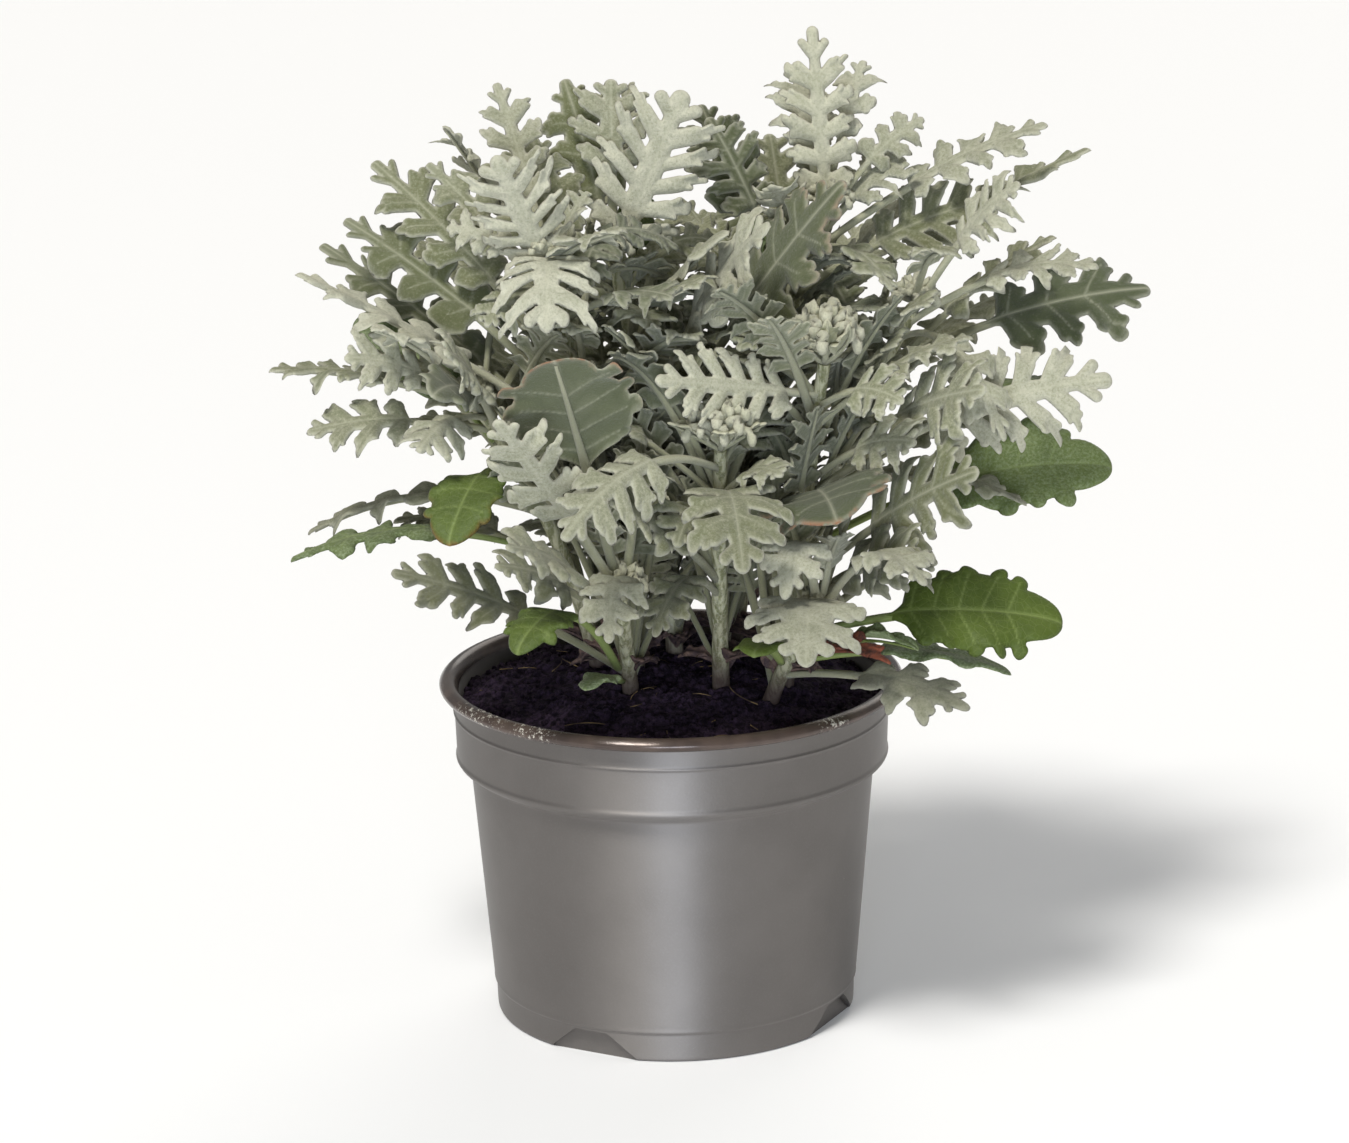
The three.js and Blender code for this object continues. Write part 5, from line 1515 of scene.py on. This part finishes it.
def crumb(tree):
    """A crumb of peat, 1 unit in radius."""
    return node(tree, "GeometryNodeMeshIcoSphere", {"Radius": 1.0, "Subdivisions": 1})


def fibre(tree):
    """A short curved root fibre, 1 unit long."""
    inputs = {"Resolution": 7, "Start": (-0.5, 0, 0.03), "Middle": (0, 0.35, 0.14), "End": (0.5, 0, 0.03)}
    arc = node(tree, "GeometryNodeCurveQuadraticBezier", inputs).outputs[0]
    ring = node(tree, "GeometryNodeCurvePrimitiveCircle", {"Resolution": 5, "Radius": 0.013}).outputs[0]
    return node(tree, "GeometryNodeCurveToMesh", {"Curve": arc, "Profile Curve": ring, "Fill Caps": True})


def strewn_tree(name, bit, material, lean, seeds):
    """Bits, strewn over the faces that are marked as the soil's top, leaning and turned at random."""
    inputs = {"Density": 1.0, "Smallest": 0.001, "Largest": 0.001}
    tree, given = geometry_tree(name, inputs)
    marked = node(tree, "GeometryNodeInputNamedAttribute", {"Name": "top"}, data_type="FLOAT")
    inputs = {"Mesh": given["Geometry"], "Density": given["Density"], "Seed": seeds[0]}
    inputs["Selection"] = marked.outputs["Attribute"]
    spots = node(tree, "GeometryNodeDistributePointsOnFaces", inputs).outputs["Points"]
    inputs = {2: given["Smallest"], 3: given["Largest"], "Seed": seeds[1]}
    size = node(tree, "FunctionNodeRandomValue", inputs, data_type="FLOAT").outputs[1]
    inputs = {0: lean[0], 1: lean[1], "Seed": seeds[2]}
    turn = node(tree, "FunctionNodeRandomValue", inputs, data_type="FLOAT_VECTOR").outputs[0]
    inputs = {"Points": spots, "Instance": bit(tree).outputs[0], "Rotation": turn, "Scale": size}
    close_tree(tree, node(tree, "GeometryNodeInstanceOnPoints", inputs).outputs[0], material)
    return tree


def grown_from(name, mesh, tree, inputs):
    """The plain mesh that a node tree makes from a mesh, with the tree's named inputs set."""
    made = linked(name, mesh)
    modifier = made.modifiers.new("grow", "NODES")
    modifier.node_group = tree
    sockets = {item.name: item.identifier for item in tree.interface.items_tree if item.in_out == "INPUT"}
    for title, value in inputs.items():
        modifier[sockets[title]] = value
    return applied(made)


# -------------------------------------------------------------------------------------- the add-on
LENGTH = {"subtype": "DISTANCE", "unit": "LENGTH"}


def colour_of(name, description, code):
    """A colour that the user can change, from its hex code."""
    shared = {"subtype": "COLOR", "size": 4, "min": 0.0, "max": 1.0}
    return FloatVectorProperty(name=name, description=description, default=srgb(code), **shared)


class MillerColours(bpy.types.PropertyGroup):
    """Main colours of the plant and its pot."""

    felt_white: colour_of("Thick felt", "Young leaves", "#C3C1AC")
    felt_grey: colour_of("Worn felt", "Older leaves", "#737552")
    felt_gone: colour_of("Felt nearly gone", "Olive leaf", "#3F472A")
    felt_thin: colour_of("Thin felt", "Leaf showing through", "#696F4F")
    green_dark: colour_of("Dark green", "Shaded green leaf", "#364418")
    green_light: colour_of("Light green", "Fresh green leaf", "#4B5B1A")
    peat: colour_of("Peat", "Lighter peat", "#45364B")
    pot: colour_of("Pot", "Pearl plastic", "#86827F")
    pot_shade: colour_of("Pot, shaded", "Pearl plastic, in clouds", "#7D7976")
    lip: colour_of("Lip", "The pot's dark lip", "#4A3F3A")


def size_of(name, description, default, low, **more):
    """A number that the user can change, down to a lowest value."""
    return FloatProperty(name=name, description=description, default=default, min=low, **more)


class MillerSizes(bpy.types.PropertyGroup):
    """Sizes of the finishing touches."""

    pot_segments: IntProperty(name="Pot segments", description="Faces round the pot", default=112, min=24)
    crumb_density: size_of("Crumbs", "Crumbs of peat per square metre", 150000.0, 0.0)
    fibre_density: size_of("Fibres", "Root fibres per square metre", 5000.0, 0.0)
    fibre_length: size_of("Fibre length", "Longest root fibre", 0.012, 0.001, **LENGTH)
    floor_size: size_of("Floor size", "Width of the floor", 6.0, 1.0, **LENGTH)
    key_strength: size_of("Key light", "Strength of the main light", 2.5, 0.0)
    box_power: size_of("Front box", "Power of the light in front, in watts", 10.5, 0.0)
    fill: size_of("Fill", "Brightness of the surroundings", 0.3, 0.0)


class MILLER_OT_pot(bpy.types.Operator):
    """Turns the pot with its rounded lip, step and foot ring, and cuts its notches and drainage holes"""

    bl_idname = "miller.pot"
    bl_label = "Pot"

    def execute(self, context):
        segments = context.scene.miller_sizes.pot_segments
        pot = turned("pot_shell", rounded(pot_profile()), segments, "pot_plastic")
        cutters = []
        # A notch flares at its foot, and its upper corners are cut off.
        half, top, high = NOTCH["bottom"] / 2, NOTCH["top"] / 2, NOTCH["height"]
        outline = [(-half, -1), (half, -1), (half - 0.6, 0.8), (top + 0.8, high - 1), (top - 0.8, high)]
        outline += [(-x, z) for x, z in outline[:1:-1]]
        for i in range(NOTCH["count"]):
            turn = Matrix.Rotation(math.radians(NOTCH["first"] + i * 360 / NOTCH["count"]), 4, "Z")
            cutters.append(prism("notch", outline, -(POT["foot"] + 4), -(POT["foot"] - 2.6), turn))
        for x, y in circle(DRAIN["circle"], DRAIN["count"]):
            upright = Matrix.Translation((x, y, 0)) @ Matrix.Rotation(math.pi / 2, 4, "X")
            cutters.append(prism("drain", circle(DRAIN["radius"], 24), *DRAIN["span"], upright))
        cut(pot, cutters)
        pot.data.set_sharp_from_angle(angle=math.radians(40))
        seat(pot, "pot_plastic", "pot")
        return {"FINISHED"}


class MILLER_OT_soil(bpy.types.Operator):
    """Lays the domed peat with a hole for each stem, its crumbs and its root fibres"""

    bl_idname = "miller.soil"
    bl_label = "Soil"

    def execute(self, context):
        sizes = context.scene.miller_sizes
        radius, edge, dome = SOIL["radius"], SOIL["edge"], SOIL["dome"]
        profile = [*SOIL_BELOW, (radius, edge)]
        for i in range(1, SOIL["rings"]):
            share = 1 - i / SOIL["rings"]
            profile.append((radius * share, edge + (dome - edge) * (1 - share * share)))
        profile.append((0, dome))
        soil = turned("peat_plug", profile, SOIL["around"], "peat")
        for vertex in soil.data.vertices:
            x, y, z = vertex.co / MM
            if z > edge - 0.1:
                fade = min(1, max(0, (radius - math.hypot(x, y)) / 3))
                lumps = 0.0
                for size, at, high in LUMPS:
                    lumps += high * noise.noise(Vector((x / size, y / size + at, 3.7)))
                vertex.co.z += MM * fade * lumps
        cutters = []
        for shoot in SHOOTS.values():
            points, along = quadratic(*stem_line(shoot), 0.0)
            axis = Vector(along[0]).to_track_quat("Y", "Z").to_matrix().to_4x4()
            ring = circle(SOIL["hole"], 16)
            cutters.append(prism("hole", ring, -0.5, 40, Matrix.Translation(points[0]) @ axis))
        cut(soil, cutters)
        mesh = soil.data
        spots = np.array([vertex.co for vertex in mesh.vertices]) / MM
        on_top = (spots[:, 2] > edge - 1.5) & (np.hypot(spots[:, 0], spots[:, 1]) < radius - 0.5)
        mesh.attributes.new("top", "FLOAT", "POINT").data.foreach_set("value", on_top.astype(np.float32))
        crumbs = (sizes.crumb_density, *CRUMB_SIZES)
        fibres = (sizes.fibre_density, sizes.fibre_length / 2, sizes.fibre_length)
        for name, bit, skin, lean, seeds, inputs in (
            ("peat_crumbs", crumb, "peat", CRUMB_TURN, "crumbs", crumbs),
            ("root_fibres", fibre, "root_fibre", FIBRE_TURN, "fibres", fibres),
        ):
            tree = strewn_tree(name, bit, material_of(skin), lean, SEEDS[seeds])
            inputs = dict(zip(("Density", "Smallest", "Largest"), inputs))
            seat(grown_from(name, mesh.copy(), tree, inputs), "peat")
        seat(soil, "peat", "soil")
        return {"FINISHED"}


class MILLER_OT_stems(bpy.types.Operator):
    """Grows the leafy stems, each a woody felted tube from its hole in the peat to its growing point"""

    bl_idname = "miller.stems"
    bl_label = "Stems"

    def execute(self, context):
        tree = stem_tree(material_of("stem_skin"))
        for name, shoot in SHOOTS.items():
            inputs = dict(zip(("Foot", "Middle", "Top"), (tuple(point * MM) for point in stem_line(shoot))))
            stem = grown_from(f"stem_{name}", bpy.data.meshes.new("stem_start"), tree, inputs)
            seat(stem, "silver_felt", f"leafy_stem_{name}")
        return {"FINISHED"}


class MILLER_OT_leaves(bpy.types.Operator):
    """Dresses every stem with its felted leaves, and lays the green and dry leaves in their places"""

    bl_idname = "miller.leaves"
    bl_label = "Leaves"

    def execute(self, context):
        packed = packed_leaves()
        inner = inner_leaves()
        draw = draws(SEEDS["young"])
        for name, shoot in SHOOTS.items():
            mesh = Mesh(packed[f"leafy_stem_{name}"] + inner[name])
            add_young(mesh, name, shoot, draw)
            seat(mesh.make(f"leaves_{name}", "silver_felt"), "silver_felt", f"leafy_stem_{name}")
        seat(Mesh(withered_leaves()).make("withered_leaf_bases", "withered"), "dry_leaf")
        for name in OWN_LEAVES:
            slot = "dry_leaf" if name == "dry_leaf" else "green_leaf"
            seat(Mesh(packed[name]).make(f"blade_{name}", slot), slot, name)
        return {"FINISHED"}


class MILLER_OT_stage(bpy.types.Operator):
    """Sets the pale floor, the soft studio lights and the camera"""

    bl_idname = "miller.stage"
    bl_label = "Stage"

    def execute(self, context):
        sizes = context.scene.miller_sizes
        half = sizes.floor_size / 2
        mesh = bpy.data.meshes.new("floor")
        corners = [(-half, -half, 0), (half, -half, 0), (half, half, 0), (-half, half, 0)]
        mesh.from_pydata(corners, [], [(0, 1, 2, 3)])
        mesh.materials.append(material_of("paper"))
        linked("floor", mesh)

        world = bpy.data.worlds.new("studio")
        world.use_nodes = True
        world.node_tree.nodes.clear()
        around = {"Color": srgb("#FBFBFA"), "Strength": sizes.fill}
        shade = node(world.node_tree, "ShaderNodeBackground", around)
        node(world.node_tree, "ShaderNodeOutputWorld", {"Surface": shade.outputs[0]})
        context.scene.world = world

        for name, light in LIGHTS.items():
            made = bpy.data.lights.new(name, light["kind"])
            made.color = light["colour"]
            made.energy = getattr(sizes, light["power"]) * light["share"]
            for title, value in light["settings"].items():
                setattr(made, title, value)
            lamp = linked(name, made)
            lamp.location = light["at"]
            lamp.rotation_euler = (Vector(light["aim"]) - lamp.location).to_track_quat("-Z", "Y").to_euler()

        camera = bpy.data.cameras.new("camera")
        camera.sensor_width = 36
        camera.lens = CAMERA["lens"]
        viewer = linked("camera", camera)
        tilt = Matrix.Rotation(math.radians(90) - CAMERA["down"], 4, "X")
        roll = Matrix.Rotation(CAMERA["roll"], 4, "Z")
        viewer.matrix_world = Matrix.Translation(CAMERA["at"]) @ tilt @ roll
        context.scene.camera = viewer
        context.scene.view_settings.view_transform = "Standard"
        return {"FINISHED"}


class MILLER_PT_panel(bpy.types.Panel):
    """Lists the steps and the sizes of the dusty miller"""

    bl_idname = "MILLER_PT_panel"
    bl_label = "Dusty miller"
    bl_space_type = "VIEW_3D"
    bl_region_type = "UI"
    bl_category = "Dusty miller"

    def draw(self, context):
        for settings in (context.scene.miller_sizes, context.scene.miller_colours):
            for title in settings.bl_rna.properties.keys():
                if title not in ("rna_type", "name"):
                    self.layout.prop(settings, title)
        for step in STEPS:
            self.layout.operator(step.bl_idname)


STEPS = (MILLER_OT_stage, MILLER_OT_pot, MILLER_OT_soil, MILLER_OT_stems, MILLER_OT_leaves)
CLASSES = (MillerColours, MillerSizes, *STEPS, MILLER_PT_panel)


def register():
    for made in CLASSES:
        bpy.utils.register_class(made)
    bpy.types.Scene.miller_colours = PointerProperty(type=MillerColours)
    bpy.types.Scene.miller_sizes = PointerProperty(type=MillerSizes)


def unregister():
    del bpy.types.Scene.miller_sizes
    del bpy.types.Scene.miller_colours
    for made in reversed(CLASSES):
        bpy.utils.unregister_class(made)


def main():
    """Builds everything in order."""
    register()
    for step in STEPS:
        group, name = step.bl_idname.split(".")
        getattr(getattr(bpy.ops, group), name)()


if __name__ == "__main__":
    main()
